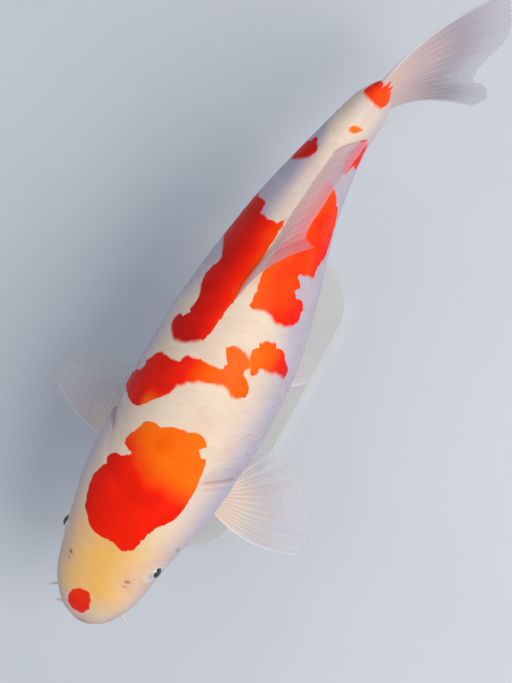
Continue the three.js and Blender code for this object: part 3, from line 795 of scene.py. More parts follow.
def skin_finish():
    """Damp, fine-pored skin without scales, with painted shade in its folds, pits and gill slit."""
    finish = Finish("koi_skin", **DAMP)
    # painted shade in the creases and pits of the head and along the gill slit
    folded = finish.times(finish.field("crease_shade"), 0.6)
    colour = finish.shade(folded, fish_colour(finish), (0.34, 0.19, 0.17, 1))
    specks = finish.spread(finish.noise(900.0, 2.0), 0.55, 0.75, 0.0, 0.10)
    colour = finish.shade(specks, colour, (0.45, 0.30, 0.25, 1))
    pores = finish.node("ShaderNodeTexVoronoi", {"Vector": finish.place(), "Scale": 700.0})
    swell = finish.relief(finish.noise(160.0), 0.0004, 0.35)
    normal = finish.relief(pores.outputs["Distance"], 0.00008, 0.4, swell)
    roughness = finish.spread(finish.noise(60.0), to_low=0.42, to_high=0.54)
    return finish.use(Base_Color=colour, Roughness=roughness, Normal=normal)


def scale_finish():
    """Scales with a slightly darker free rim, growth rings and fine spokes. Each one differs a little in
    tint.
    """
    finish = Finish("koi_scales", **DAMP)
    out, across, tint = (finish.field(f"scale_{name}") for name in ("out", "across", "tint"))
    tinted = finish.spread(tint, 0.0, 1.0, 0.0, 0.10)
    colour = finish.shade(tinted, fish_colour(finish), (0.55, 0.42, 0.40, 1))
    colour = finish.shade(finish.spread(out, 0.90, 1.0, 0.0, 0.08), colour, (0.75, 0.55, 0.50, 1))
    rings = finish.relief(finish.waves(out, 150.0), 0.00001, 0.3)
    spokes = finish.relief(finish.waves(across, 42.0), 0.000012, 0.2, rings)
    normal = finish.relief(finish.noise(500.0, 2.0), 0.00012, 0.3, spokes)
    roughness = finish.spread(finish.noise(90.0), to_low=0.40, to_high=0.52)
    return finish.use(Base_Color=colour, Roughness=roughness, Normal=normal)


def fin_finish(
    name, flesh, membrane, clearest, thickest=1.0, ray_light=0.3, web_gap=0.14, stained=False, fade=0.2,
):
    """A fin that is fleshy at its root and thins to a see-through web between pale rays."""
    finish = Finish(name, Coat_Weight=0.08, Coat_Roughness=0.2, Specular_IOR_Level=0.3)
    ray, out, edge = finish.field("ray_crest"), finish.field("fin_out"), finish.field("fin_edge")
    clouds = finish.noise(45.0, 4.0)
    colour = finish.blend(finish.spread(out, 0.05, 0.75), flesh, membrane)
    colour = finish.blend(finish.spread(ray, 0.35, 0.95, 0.0, ray_light), colour, (0.86, 0.78, 0.72, 1))
    colour = finish.blend(finish.spread(clouds, 0.35, 0.7, 0.0, 0.2), colour, PINK)
    colour = finish.blend(finish.times(edge, 0.6), colour, (0.78, 0.78, 0.84, 1))
    if stained:
        colour = finish.blend(finish.spread(finish.field("red"), -1.0, 1.0), colour, TAIL_RED)
    joints = finish.relief(finish.times(finish.waves(out, 190.0), ray), 0.00006, 0.4)
    normal = finish.relief(finish.noise(700.0, 2.0), 0.00010, 0.3, joints)
    finish.use(Base_Color=colour, Roughness=0.45, Normal=normal)
    thin = finish.spread(out, fade, 1.0, thickest, clearest)
    web = finish.spread(ray, 0.0, 0.8, 1 - web_gap, 1 + 0.7 * web_gap)
    opacity = finish.maths("ADD", finish.times(thin, web), finish.times(edge, 0.35), use_clamp=True)
    return finish.see_through(opacity)


def eye_finish():
    """A black pupil in a silvery iris with a thin gold rim, under a clear wet coat."""
    finish = Finish("koi_eye", Coat_Weight=1.0, Coat_Roughness=0.03, Specular_IOR_Level=0.6)
    flecks = finish.noise(420.0, 4.0)
    wobble = finish.spread(flecks, to_low=-0.02, to_high=0.02)
    from_axis = finish.maths("ADD", finish.field("from_axis"), wobble)
    pupil, gold, silver = (0.003, 0.003, 0.004, 1), (0.42, 0.33, 0.18, 1), (0.62, 0.61, 0.58, 1)
    colour = finish.ramp(
        from_axis, (0.0, pupil), (0.50, pupil), (0.53, gold), (0.58, silver),
        (0.80, (0.50, 0.50, 0.53, 1)), (0.90, (0.30, 0.31, 0.34, 1)),
    )
    colour = finish.shade(finish.spread(flecks, 0.55, 0.75, 0.0, 0.25), colour, (0.25, 0.22, 0.18, 1))
    roughness = finish.spread(flecks, to_low=0.12, to_high=0.22)
    return finish.use(Base_Color=colour, Roughness=roughness, Normal=finish.relief(flecks, 0.00005, 0.2))


def feeler_finish():
    """Soft cream flesh that pales to the tip."""
    finish = Finish("koi_feeler", Coat_Weight=0.3, Coat_Roughness=0.15, Specular_IOR_Level=0.45)
    colour = finish.blend(finish.field("fin_out"), (0.80, 0.60, 0.50, 1), (0.78, 0.70, 0.68, 1))
    colour = finish.blend(finish.spread(finish.noise(300.0), 0.4, 0.7, 0.0, 0.3), colour, PINK)
    normal = finish.relief(finish.noise(800.0, 2.0), 0.0001, 0.4)
    return finish.use(Base_Color=colour, Roughness=0.36, Normal=normal)


def board_finish():
    """Satin paint over close-grained wood."""
    finish = Finish("stand_paint", Coat_Weight=0.15, Coat_Roughness=0.3, Specular_IOR_Level=0.4)
    grain = finish.noise(6.0, 6.0, stretch=(6.0, 90.0, 90.0))
    clouds = finish.noise(9.0)
    grained = finish.spread(grain, 0.35, 0.7, 0.0, 0.35)
    colour = finish.blend(grained, (0.60, 0.61, 0.61, 1), (0.54, 0.545, 0.54, 1))
    colour = finish.blend(finish.spread(clouds, 0.35, 0.7, 0.0, 0.15), colour, (0.62, 0.62, 0.60, 1))
    orange_peel = finish.relief(finish.noise(650.0, 2.0), 0.00008, 0.35)
    normal = finish.relief(grain, 0.0001, 0.5, orange_peel)
    roughness = finish.spread(clouds, to_low=0.42, to_high=0.52)
    return finish.use(Base_Color=colour, Roughness=roughness, Normal=normal)


def steel_finish():
    """Brushed steel, with the scratches running round the rods."""
    finish = Finish("stand_brushed_steel", Metallic=1.0)
    scratches = finish.noise(2.0, 4.0, stretch=(40.0, 40.0, 2200.0))
    colour = finish.blend(finish.spread(scratches), (0.50, 0.51, 0.52, 1), (0.64, 0.65, 0.66, 1))
    roughness = finish.spread(scratches, to_low=0.24, to_high=0.38)
    return finish.use(Base_Color=colour, Roughness=roughness, Normal=finish.relief(scratches, 0.00006, 0.4))


def floor_finish():
    """Pale matt studio floor, slightly cool."""
    finish = Finish("studio_floor", Specular_IOR_Level=0.25)
    clouds = finish.spread(finish.noise(2.5, 4.0))
    colour = finish.blend(clouds, (0.60, 0.635, 0.685, 1), (0.63, 0.665, 0.715, 1))
    normal = finish.relief(finish.noise(500.0), 0.0001, 0.2)
    return finish.use(Base_Color=colour, Roughness=0.75, Normal=normal)


# ---------------------------------------------------------------- the skin

FLESH_NODES = ["head", "gill_cover_left", "gill_cover_right", "lower_jaw", "trunk", "tail_stem"]


def paint(point, along, share, level, scale_along=None, scale_offset=None):
    """The fields that fish_colour reads."""
    offset = share * half_girth(along)
    return {
        "red": redness(along, offset, scale_along, scale_offset),
        "warm": warmth_and_shade(along, offset),
        "amber": amber(along, offset),
        "cool": flank_tint_and_shade(along, share),
        "blush": blush(point, along, share, level),
        "pallor": eye_pallor(point),
    }


def nape_along(share):
    """Where the edge of the gill cover and nape crosses each way round the body."""
    along = np.full(share.shape, 130.0)
    for _ in range(12):
        along = mix(along, NAPE_EDGE(surface(along, share)[2]), 0.6)
    return along


def make_skin():
    """One closed skin from lips to tail fin. Its rows lean with the edge of the gill cover."""
    step = through(
        (0, 0.35), (8, 0.7), (48, 0.8), (53, 0.55), (64, 0.6), (68, 0.5), (86, 0.5), (95, 1), (150, 1),
        (186, 1.2), (204, 3), (240, 6), (450, 6), (480, 2.6), (493, 2.2),
    )
    turn = through(
        (0, 0.009), (0.12, 0.008), (0.15, 0.005), (0.21, 0.005), (0.26, 0.0038), (0.42, 0.0038),
        (0.48, 0.009), (1, 0.0095),
    )
    rows = marched(step, BODY_LENGTH - 1.2)
    tip = SNOUT_ROUNDING * SPINE_LENGTH * (1 - np.sqrt(1 - np.arange(0.008, 0.36, 0.02) ** 2))
    rows = np.concatenate([tip, rows[rows > tip[-1] + 0.2]])
    half = marched(turn, 1.0)
    shares = np.concatenate([-half[:0:-1], half[:-1]])
    edge_shift = np.clip(nape_along(shares) - 140, -30, 28)
    lean_of_row = ease(97, 140, rows) * ease(208, 152, rows)
    along = rows[:, None] + lean_of_row[:, None] * edge_shift
    share = np.broadcast_to(shares, along.shape)
    point, outward, level = surface(along, share)
    relief = head_relief(point, along, level, share)
    skin = point + outward * (relief - coat_bed(along, level) * bed_start(along, level))[..., None]
    fields = paint(point, along, share, level)
    behind = along - NAPE_EDGE(level)
    # painted shade along the gill slit, and in every crease and pit deeper than a quarter millimetre
    gill_slit_shade = 0.9 * bump(behind - 1.4, 1.6) * ease(56, 46, level) * ease(-66, -54, level)
    fields["crease_shade"] = clamp(np.maximum((-0.25 - relief) / 1.6, gill_slit_shade))
    finished(make_tube("koi_skin", skin, skin_finish(), **fields), "skin", *FLESH_NODES)


make_skin()


# ---------------------------------------------------------------- the scales

SCALE_ROWS = 13                 # rows of scales on each side, from the ridge to the belly
LINE_ROW = 6                    # the row with the side line's pores
SCALE_PITCH = through((100, 10.4), (250, 9.8), (370, 8.4), (490, 6.6))
SCALE_LENGTH, SCALE_WIDTH = 2.15, 1.46      # in pitches along, and in row widths across
SCALE_THICKNESS = 0.2
SCALE_SLOPE = 0.031             # how fast a scale rises over the skin towards its free edge
SCALE_ROOT = -0.12              # its root starts just inside the skin
COAT_PIECES = 5
PATCH = 0.003                   # the width of one scale's patch on the OFBake map


def scale_roots():
    """Where every scale is rooted: its row, share of the way round and distance along. Rows lie staggered."""
    places = np.linspace(60, BODY_LENGTH, 900)
    count = np.concatenate([[0], np.cumsum(np.diff(places) / SCALE_PITCH(places[:-1]))])
    roots = []
    for row in range(-SCALE_ROWS, SCALE_ROWS):
        share = (row + 0.5) / SCALE_ROWS
        steps = np.arange(0, count[-1], 1.0) + 0.5 * (row % 2)
        along = np.interp(steps, count, places)
        shown = along + 0.72 * SCALE_LENGTH * SCALE_PITCH(along)
        kept = (shown > nape_along(np.full(along.shape, share)) + 2.5) & (shown < BODY_LENGTH - 2)
        roots += [(row, share, place) for place in along[kept]]
    return np.array(roots)


def make_scales(name, roots, material):
    """A batch of scales in one mesh: thin curved plates, rooted in the skin, that overlap like tiles."""
    lengthwise, crosswise = 10, 12
    out = np.linspace(0, 1, lengthwise + 1)[:, None] ** 0.85
    across = np.linspace(-1, 1, crosswise + 1)[None, :]
    row, share, along = (part[:, None, None] for part in roots.T)
    pitch = SCALE_PITCH(along)
    wobble = random.uniform(-1, 1, (4, len(roots)))[:, :, None, None]
    rounding = 1 - 0.36 * np.abs(across) ** 2.2
    ahead = out * SCALE_LENGTH * pitch * (1 + 0.03 * wobble[0]) * rounding
    row_width = half_girth(along) / SCALE_ROWS
    narrowing = mix(0.8, 1.0, ease(0, 0.5, out))
    aside = across * 0.5 * SCALE_WIDTH * row_width * narrowing + 0.03 * wobble[1] * ahead
    place = along + ahead
    side_place = share + aside / half_girth(place)
    point, outward, level = surface(place, side_place)
    rise = SCALE_ROOT + SCALE_SLOPE * ahead * (1 + 0.12 * wobble[2])
    rise = rise - 0.10 * across**2 - 0.07 * ease(0.88, 1.0, out) - coat_bed(place, level)
    pores = 0.28 * bump(aside, 0.8) * ease(0.5, 0.62, out) * ease(0.97, 0.85, out)
    pores = pores * (np.abs(np.abs(row + 0.5) - LINE_ROW - 0.5) < 0.1)
    top = point + outward * (rise + pores)[..., None]
    bottom = point + outward * (rise - SCALE_THICKNESS)[..., None]
    middle = roots[:, 2] + 0.78 * SCALE_LENGTH * SCALE_PITCH(roots[:, 2])
    middle_offset = roots[:, 1] * half_girth(middle)
    fields = paint(point, place, side_place, level, middle[:, None, None], middle_offset[:, None, None])
    fields.update(scale_out=out, scale_across=(across + 1) / 2, scale_tint=(wobble[3] + 1) / 2)
    joined_plates(name, top, bottom, material, roots, fields)


def joined_plates(name, top, bottom, material, roots, fields):
    """The two faces of every scale and the rim between them. On the map each scale has a small patch."""
    count, rows, columns = top.shape[:3]
    size = rows * columns
    both = np.stack([top.reshape(count, size, 3), bottom.reshape(count, size, 3)], 1)
    plate = turned_outwards(both[0], plate_faces(rows, columns))
    quads = (plate[None] + (np.arange(count) * 2 * size)[:, None, None]).reshape(-1, 4)
    root_spot = np.stack([roots[:, 2] / BODY_LENGTH, (roots[:, 1] + 1) / 2], -1) * (1 - 2 * PATCH) + PATCH
    on_scale = np.stack(np.broadcast_arrays(fields["scale_out"], fields["scale_across"]), -1)
    local_spot = (on_scale.reshape(size, 2) - 0.5) * PATCH
    spots = np.tile(root_spot[:, None] + local_spot, (1, 2, 1)).reshape(-1, 2)
    doubled = {}
    for key, value in fields.items():
        value = np.broadcast_to(value, (count, rows, columns)).reshape(count, 1, size)
        doubled[key] = np.tile(value, (1, 2, 1))
    finished(make_mesh(name, both, quads, material, spots[quads], sharp=50, **doubled), "skin")


def make_coat():
    roots = scale_roots()
    order = np.argsort(roots[:, 2], kind="stable")
    material = scale_finish()
    for number, batch in enumerate(np.array_split(order, COAT_PIECES), 1):
        make_scales(f"koi_scales_{number}", roots[batch], material)


make_coat()


# ---------------------------------------------------------------- fins


def directions(turn, side, length, droop):
    """A fin ray's chord, swept out from the tail's direction and hanging below the level."""
    turn, droop = np.radians(turn), np.radians(droop)
    flat = length * np.cos(droop)
    return vectors(flat * np.cos(turn), -side * flat * np.sin(turn), -length * np.sin(droop))


def scaled(direction, size):
    return direction * np.asarray(size)[..., None]


def ray_point(root, chord, bow, out):
    """A ray as a straight chord with a bow that is greatest at its middle."""
    return root + scaled(chord, out) + scaled(bow, 4 * out * (1 - out))


PECTORAL_STATIONS, PECTORAL_ANGLE = (0.272, 0.318), 2.05
PECTORAL_LENGTH = through((0, 86), (0.25, 88), (0.65, 65), (1, 46))
PECTORAL_SWEEP = {
    LEFT: through((0, 91), (0.3, 82), (0.65, 48), (1, 18)),
    RIGHT: through((0, 75), (0.3, 68), (0.65, 43), (1, 15)),
}
PECTORAL_DROOP, PECTORAL_BOW = {LEFT: 10, RIGHT: 14}, {LEFT: 9, RIGHT: 6}


def pectoral_point(side):
    def point(ray, out):
        root = root_point(mix(*PECTORAL_STATIONS, ray), side * PECTORAL_ANGLE, 6)
        sweep = PECTORAL_SWEEP[side](ray)
        chord = directions(sweep, side, PECTORAL_LENGTH(ray), PECTORAL_DROOP[side])
        turn = np.radians(sweep)
        forward = vectors(-np.sin(turn), -side * np.cos(turn), 0.35)
        return ray_point(root, chord, scaled(forward, PECTORAL_BOW[side] * (1 - ray) ** 2), out)

    return point


PELVIC_STATIONS, PELVIC_ANGLE, PELVIC_DROOP = (0.485, 0.512), 2.7, 30
PELVIC_LENGTH = through((0, 60), (0.4, 56), (1, 34))
PELVIC_SWEEP = through((0, 52), (0.5, 36), (1, 14))


def pelvic_point(side):
    def point(ray, out):
        root = root_point(mix(*PELVIC_STATIONS, ray), side * PELVIC_ANGLE, 5)
        chord = directions(PELVIC_SWEEP(ray), side, PELVIC_LENGTH(ray), PELVIC_DROOP)
        return ray_point(root, chord, vectors(-3 * (1 - ray), -side * 3, -2), out)

    return point


DORSAL_STATIONS = (0.566, 0.866)
DORSAL_LENGTH = through((0, 80), (0.15, 63), (0.5, 47), (0.8, 42), (1, 38))
DORSAL_SWEEP = through((0, 24), (0.15, 20), (0.5, 27), (0.8, 32), (1, 37))
DORSAL_LEAN = through((0, 80), (0.15, 90), (0.5, 104), (0.8, 110), (1, 114))
DORSAL_RISE, DORSAL_CURL = 7, 9


def dorsal_point(ray, out):
    station = mix(*DORSAL_STATIONS, ray)
    _, _, left, up = station_frame(station)
    root = root_point(station, 0.0, 5)
    ridge = unit(body_point(station + 0.02, 0.0) - body_point(station - 0.02, 0.0))
    turn, fold, length = np.radians(DORSAL_SWEEP(ray)), np.radians(DORSAL_LEAN(ray)), DORSAL_LENGTH(ray)
    outward = scaled(up, np.cos(fold)) + scaled(left, np.sin(fold))
    chord = scaled(ridge, length * np.cos(turn)) + scaled(outward, length * np.sin(turn))
    inwards = scaled(ridge, np.sin(turn)) - scaled(outward, np.cos(turn))
    curl = scaled(inwards, DORSAL_CURL * ease(0.4, 0, ray))
    return ray_point(root, chord, up * DORSAL_RISE + curl, out)


ANAL_STATIONS = (0.775, 0.845)
ANAL_LENGTH = through((0, 60), (0.35, 50), (1, 28))
ANAL_FALL = through((0, 52), (0.5, 44), (1, 34))


def anal_point(ray, out):
    station = mix(*ANAL_STATIONS, ray)
    _, along, left, up = station_frame(station)
    root = root_point(station, np.pi, 5)
    fall, length = np.radians(ANAL_FALL(ray)), ANAL_LENGTH(ray)
    chord = scaled(along, length * np.cos(fall)) - scaled(up, length * np.sin(fall)) + left * 5
    return ray_point(root, chord, up * -2, out)


CAUDAL_STATION, CAUDAL_ROOT_HEIGHT, CAUDAL_RISE, CAUDAL_LEAN = 0.985, 27, 25, 12
CAUDAL_LENGTH = through((-1, 98), (-0.8, 107), (-0.5, 100), (-0.1, 84), (0.1, 86), (0.5, 112), (1, 122))
CAUDAL_HEADING = through((-1, -43), (0, -45), (1, -37))
CAUDAL_SIDE_BOW = through((-1, 12), (0, 6), (1, 9))


def caudal_point(ray, out):
    height = 2 * ray - 1
    origin, _, _, up = station_frame(CAUDAL_STATION + 0 * ray)
    root = origin + scaled(up, height * CAUDAL_ROOT_HEIGHT)
    turn, rise = np.radians(CAUDAL_HEADING(height)), np.radians(height * CAUDAL_RISE)
    tip, length = np.radians(CAUDAL_LEAN), CAUDAL_LENGTH(height)
    along = vectors(np.cos(turn), np.sin(turn), 0)
    right = vectors(-np.sin(turn), np.cos(turn), 0)
    fan = np.array([0, 0, np.cos(tip)]) + right * np.sin(tip)
    chord = scaled(along, length * np.cos(rise)) + scaled(fan, length * np.sin(rise))
    bow = scaled(right, CAUDAL_SIDE_BOW(height)) + vectors(0, 0, 6 * height)
    return ray_point(root, chord, bow, out)


# The colours of the flesh at a fin's root and of its web.
PALE_FIN = (0.80, 0.66, 0.52, 1), (0.58, 0.57, 0.62, 1)
DORSAL_FIN = (0.76, 0.54, 0.48, 1), (0.66, 0.45, 0.51, 1)
TAIL_FIN = (0.70, 0.49, 0.44, 1), (0.43, 0.39, 0.46, 1)
WEB_THICKNESS = 0.3


def ray_crests(ray, out, count):
    """The raised line of every fin ray. Each one forks on the way out, and forks again near the margin."""
    within = ray * count - np.round(ray * count)
    fork, second_fork = 0.23 * ease(0.35, 0.9, out), 0.05 * ease(0.8, 1.0, out)
    width = mix(0.20, 0.075, ease(0.1, 0.8, out))
    crest = 0
    for side in (-1, 1):
        for lesser in (-1, 1):
            crest = np.maximum(crest, bump(within - side * fork - lesser * second_fork, width))
    return crest


def make_fin(
    name, node, material, rays, steps, point_at, thickness, notch=0.014, wave=0.3, edges=(1.0, 0.0),
    raise_rays=0.24, edge_width=0.55, stain=None, per_ray=14,
):
    """A closed thin fin: a web between raised, branching rays, with a margin notched between the ray tips.
    edges says how strongly the first and last rays are thickened to a stiff, pale leading edge."""
    columns = rays * per_ray + 1
    ray = np.linspace(0, 1, columns)[:, None]
    out = np.linspace(0, 1, steps + 1)[None, :] ** 0.9
    tips = ray_crests(ray, 1.0, rays)
    uneven = 1 - 0.008 * ripple(ray * 40, 0, 9, len(name))
    reach = out * (1 - notch * (1 - tips) * ease(0.5, 1.0, out)) * mix(1, uneven, out) * 0.995
    ray, reach = np.broadcast_arrays(ray, reach)
    crest = ray_crests(ray, reach, rays)
    edge = edges[0] * bump(ray, edge_width / rays) + edges[1] * bump(1 - ray, edge_width / rays)
    edge = clamp(edge) * ease(0.02, 0.25, reach)
    small = 0.01
    middle = point_at(ray, reach)
    around = point_at(np.minimum(ray + small, 1), reach) - point_at(np.maximum(ray - small, 0), reach)
    outwards = point_at(ray, np.minimum(reach + small, 1)) - point_at(ray, np.maximum(reach - small, 0))
    normal = unit(np.cross(around, outwards))
    folds = wave * np.sin(ray * rays * np.pi) * ease(0.15, 1.0, reach)
    folds = folds + 1.6 * wave * ripple(ray * 60, reach * 45, 50, len(name) + 3) * ease(0.2, 1.0, reach)
    middle = middle + scaled(normal, folds)
    body = mix(thickness(ray) * 0.9, WEB_THICKNESS, ease(0.0, 0.42, reach) ** 0.7)
    raised = raise_rays * crest * ease(0.04, 0.25, reach) * mix(1, 0.45, reach)
    half = (body + raised + edge * mix(1, 0.35, reach)) / 2 * ease(1.02, 0.93, reach)
    from_side = np.minimum(np.arange(columns), np.arange(columns)[::-1]) / 3
    half = np.maximum(half, 0.12) * np.sqrt(np.clip(from_side, 0.06, 1))[:, None]
    fields = {"ray_crest": crest, "fin_out": reach, "fin_edge": edge}
    if stain:
        fields["red"] = stain(ray, reach)
    finished(closed_sheet(name, material, middle, scaled(normal, half), (ray, reach), fields), "fin", node)


def closed_sheet(name, material, middle, thickening, place, fields):
    """The two faces of a fin joined round the margin in one closed mesh, side by side on the map."""
    size = place[0].size
    both = np.stack([middle + thickening, middle - thickening]).reshape(-1, 3)
    quads = turned_outwards(both, plate_faces(*middle.shape[:2]))
    spot = np.stack(place, -1).reshape(size, 2) * (0.48, 0.96) + 0.01
    spots = np.concatenate([spot, spot + (0.5, 0)])[quads]
    across_rim = (quads >= size).any(1) & (quads < size).any(1)
    spots[across_rim] = spot[quads[across_rim] % size]
    doubled = {key: np.tile(value.ravel(), 2) for key, value in fields.items()}
    return make_mesh(name, both, quads, material, spots, sharp=60, **doubled)


def tail_thickness(ray):
    """Thick in the middle of the root and thin at the first and last rays."""
    return 4 + 5 * ease(0, 0.25, ray) * ease(1, 0.75, ray)


def tail_stain(ray, reach):
    """How far inside the red that runs from the tail stem on to the root of the fin, ending in points."""
    limit = 0.135 * ease(0.45, 0.6, ray) * mix(1, 0.5, ease(0.86, 1, ray)) + 0.024 * np.sin(ray * 58)
    return np.clip((limit - reach) / 0.006, -8, 8)


def make_fins():
    pale = fin_finish("koi_paired_fins", *PALE_FIN, clearest=0.20, ray_light=0.2)
    folded = fin_finish("koi_dorsal_fin", *DORSAL_FIN, 0.30, thickest=0.66, ray_light=0.05, web_gap=0.05)
    tail = fin_finish("koi_tail_fin", *TAIL_FIN, 0.22, ray_light=0.08, web_gap=0.07, stained=True, fade=0.42)
    for side, word in SIDES:
        pectoral, pelvic = f"pectoral_fin_{word}", f"pelvic_fin_{word}"
        make_fin(f"koi_{pectoral}", pectoral, pale, 17, 46, pectoral_point(side), lambda ray: 6 - 3 * ray)
        make_fin(f"koi_{pelvic}", pelvic, pale, 9, 36, pelvic_point(side), lambda ray: 4 + 0 * ray)
    make_fin(
        "koi_dorsal_fin", "dorsal_fin", folded, 20, 44, dorsal_point, lambda ray: 3.4 + 0 * ray,
        notch=0.03, wave=0.25, edges=(0.15, 0.0), raise_rays=0.05,
    )
    make_fin("koi_anal_fin", "anal_fin", pale, 8, 36, anal_point, lambda ray: 3.4 + 0 * ray)
    make_fin(
        "koi_tail_fin", "caudal_fin", tail, 19, 84, caudal_point, tail_thickness,
        notch=0.01, wave=0.5, edges=(1, 1), raise_rays=0.18, edge_width=0.4, stain=tail_stain, per_ray=20,
    )


make_fins()


# ---------------------------------------------------------------- eyes and feelers


def make_eye(side, word, material):
    """A smooth eyeball turned outwards, with a low clear bulge over the pupil."""
    centre, outward = eye_centre(side), eye_outward(side)
    _, along, _, _ = station_frame(EYE_STATION)
    forward = unit(along - outward * (along @ outward))
    polar = np.linspace(0.015, np.pi - 0.015, 56)[:, None]
    turn = full_turn(72)
    radius = EYE_RADIUS - 0.05 + 0.35 * bump(polar, 0.42)
    reach = np.sin(polar)
    ball = scaled(outward, np.cos(polar)) + scaled(forward, reach * np.cos(turn))
    ball = centre + scaled(ball + scaled(np.cross(outward, forward), reach * np.sin(turn)), radius)
    from_axis = np.where(polar < np.pi / 2, reach, 1.0) * np.hypot(np.cos(turn) / 1.1, np.sin(turn))
    finished(make_tube(f"koi_eye_{word}", ball, material, from_axis=from_axis), "eye", f"eye_{word}")


# Each feeler's side, the station and angle of its root, its radius there and at the tip, and how far the tip
# lies out, back and down from the root. It lies in front of the root where the middle number is negative.
FEELERS = {
    "barbel_front_left": (LEFT, (0.02, 1.55), (1.25, 0.5), (5, -4, 7)),
    "barbel_front_right": (RIGHT, (0.02, 1.55), (1.25, 0.5), (9, -4, 6)),
    "barbel_rear_left": (LEFT, (0.044, 1.72), (1.5, 0.6), (6, -9, 9)),
    "barbel_rear_right": (RIGHT, (0.044, 1.72), (1.5, 0.6), (12, -10, 9)),
}


def make_feeler(name, side, root, radii, tip, material):
    """A soft barbel by the mouth, thinning along a curve to a rounded tip."""
    station, angle = root
    start = root_point(station, side * angle, 3)
    _, along, left, up = station_frame(station)
    aside, back, below = left * side * tip[0], along * tip[1], up * tip[2]
    bend, end = start + aside * 0.85 + back * 0.85**2 - below * 0.2, start + aside + back - below
    t = np.linspace(0, 1, 40)[:, None]
    line = start * (1 - t) ** 2 + bend * 2 * t * (1 - t) + end * t * t
    onwards = unit(np.gradient(line, axis=0))
    first = unit(np.cross(onwards, along))
    second = np.cross(first, onwards)
    radius = mix(*radii, t) * np.sqrt(np.clip(1 - ease(0.9, 1.0, t) ** 2 * 0.97, 0.03, 1))
    turn = full_turn(16)[:, None]
    ring = first[:, None] * np.cos(turn) + second[:, None] * np.sin(turn)
    tube = line[:, None] + ring * radius[..., None]
    out = np.broadcast_to(t, tube.shape[:2])
    finished(make_tube(f"koi_{name}", tube, material, fin_out=out), "feeler", name)


def make_head_parts():
    eyes, feelers = eye_finish(), feeler_finish()
    for side, word in SIDES:
        make_eye(side, word, eyes)
    for name, (side, root, radii, tip) in FEELERS.items():
        make_feeler(name, side, root, radii, tip, feelers)


make_head_parts()


# ---------------------------------------------------------------- the stand

BOARD_CORNER, BOARD_ROUND = 50.0, 1.5


def make_board():
    """The flat base: a board with round corners and softly rounded edges."""
    low, high = (np.array(corner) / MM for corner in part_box("stand_base"))
    middle, half = (low + high) / 2, (high - low) / 2
    turn = np.linspace(0, np.pi / 2, 25)
    corner = np.stack([np.cos(turn), np.sin(turn)], -1)
    out = np.concatenate([corner, corner[::-1] * (-1, 1), -corner, corner[::-1] * (1, -1)])
    signs = np.repeat([(1, 1), (-1, 1), (-1, -1), (1, -1)], len(turn), axis=0)
    edge = np.linspace(0, np.pi / 2, 7)
    inset = BOARD_ROUND * (1 - np.concatenate([np.sin(edge), np.cos(edge)]))
    lower, upper = low[2] + BOARD_ROUND * (1 - np.cos(edge)), high[2] - BOARD_ROUND * (1 - np.sin(edge))
    plan = signs * (half[:2] - BOARD_CORNER) + out * (BOARD_CORNER - inset)[:, None, None] + middle[:2]
    board = vectors(plan[..., 0], plan[..., 1], np.concatenate([lower, upper])[:, None])
    piece = make_tube("stand_board_painted", board, board_finish(), mapped=False, sharp=35)
    finished(piece, "stand_board", "stand_base")


def make_rod(name, material):
    """A steel rod with a low foot that is filleted into it."""
    low, high = (np.array(corner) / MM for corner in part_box(name))
    foot, height = (high[0] - low[0]) / 2, high[2] - low[2]
    rod, foot_height, fillet = 4.5, 4.0, 5.0
    profile = [(foot - 0.4, 0), (foot, 0.4), (foot, foot_height - 0.8), (foot - 0.8, foot_height)]
    for bend in np.linspace(0, np.pi / 2, 9):
        profile.append((rod + fillet * (1 - np.sin(bend)), foot_height + fillet * (1 - np.cos(bend))))
    profile += [(rod, height - 0.6), (rod - 0.6, height)]
    radius, level = np.array(profile).T[..., None]
    turn = full_turn(48)
    x, y, _ = (low + high) / 2
    tube = vectors(x + radius * np.cos(turn), y + radius * np.sin(turn), low[2] + level)
    finished(make_tube(f"{name}_steel", tube, material, mapped=False, sharp=35), "stand_steel", name)


def make_stand():
    make_board()
    steel = steel_finish()
    for name in ("stand_rod_front", "stand_rod_rear"):
        make_rod(name, steel)


make_stand()


# ---------------------------------------------------------------- floor, camera and light

VIEW_TILT, VIEW_TURN = 5.95, 28.6       # the camera leans off the vertical, and is turned about its own axis
VIEW_DISTANCE = 735.0
VIEW_TARGET = np.array([53.56, -13.04, AXIS_HEIGHT])


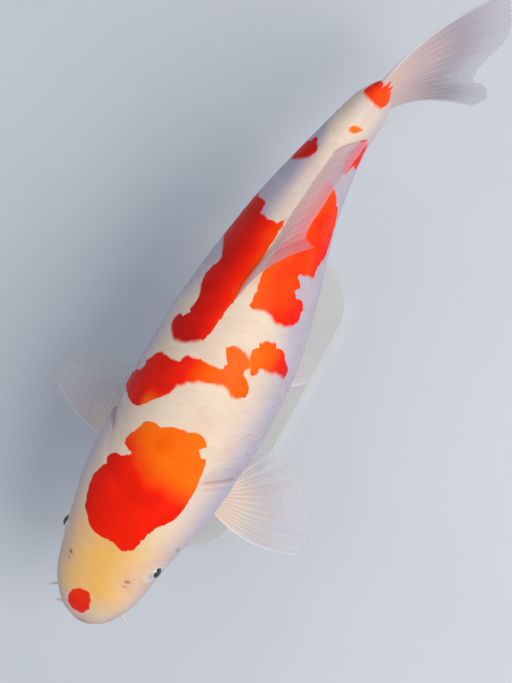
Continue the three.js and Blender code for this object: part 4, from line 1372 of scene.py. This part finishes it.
def view_directions():
    """Backwards, up and right of the camera, in the row frame."""
    tilt, turn = np.radians(VIEW_TILT), np.radians(VIEW_TURN)
    back = np.array([0, -np.sin(tilt), np.cos(tilt)])
    level = unit(np.array([1.0, 0, 0]) - back * back[0])
    upright = np.cross(back, level)
    up = level * np.cos(turn) + upright * np.sin(turn)
    return back, up, np.cross(up, back)


def make_camera():
    back, up, right = view_directions()
    lens = bpy.data.cameras.new("camera")
    lens.lens, lens.sensor_fit, lens.sensor_height = 49.0, "VERTICAL", 36.0
    lens.clip_start, lens.clip_end = 0.01, 20.0
    camera = add_object("camera", lens)
    columns = np.stack([right, up, back, (VIEW_TARGET + back * VIEW_DISTANCE) * MM], -1)
    camera.matrix_world = Matrix([*columns.tolist(), (0, 0, 0, 1)])
    bpy.context.scene.camera = camera


def make_floor():
    spots = np.linspace(-4000, 4000, 9)
    quads, _ = grid_faces(len(spots), len(spots))
    make_mesh("studio_floor", vectors(spots[:, None], spots, 0), quads, floor_finish())


def make_lamp(name, place, size, power, colour):
    """A soft square lamp aimed at the middle of the fish."""
    lamp = bpy.data.lights.new(name, "AREA")
    lamp.shape, lamp.size, lamp.energy, lamp.color = "SQUARE", size, power, colour
    aim = Vector((cad_low + cad_high) / 2) - Vector(place)
    turned = aim.to_track_quat("-Z", "Y").to_matrix().to_4x4()
    add_object(name, lamp).matrix_world = Matrix.Translation(place) @ turned


def make_lights():
    _, up, right = view_directions()
    key, fill = right * 1.25 - up * 0.35, -right * 1.1 + up * 0.5
    make_lamp("key", (key[0], key[1], 1.55), 1.3, 29.0, (1.0, 0.965, 0.91))
    make_lamp("fill", (fill[0], fill[1], 1.3), 1.6, 4.0, (0.86, 0.92, 1.0))
    scene = bpy.context.scene
    scene.world = bpy.data.worlds.new("studio")
    scene.world.use_nodes = True
    background = scene.world.node_tree.nodes["Background"].inputs
    background["Color"].default_value = (0.86, 0.91, 1.0, 1)
    background["Strength"].default_value = 0.46
    scene.view_settings.view_transform = "Standard"


make_camera()
make_floor()
make_lights()
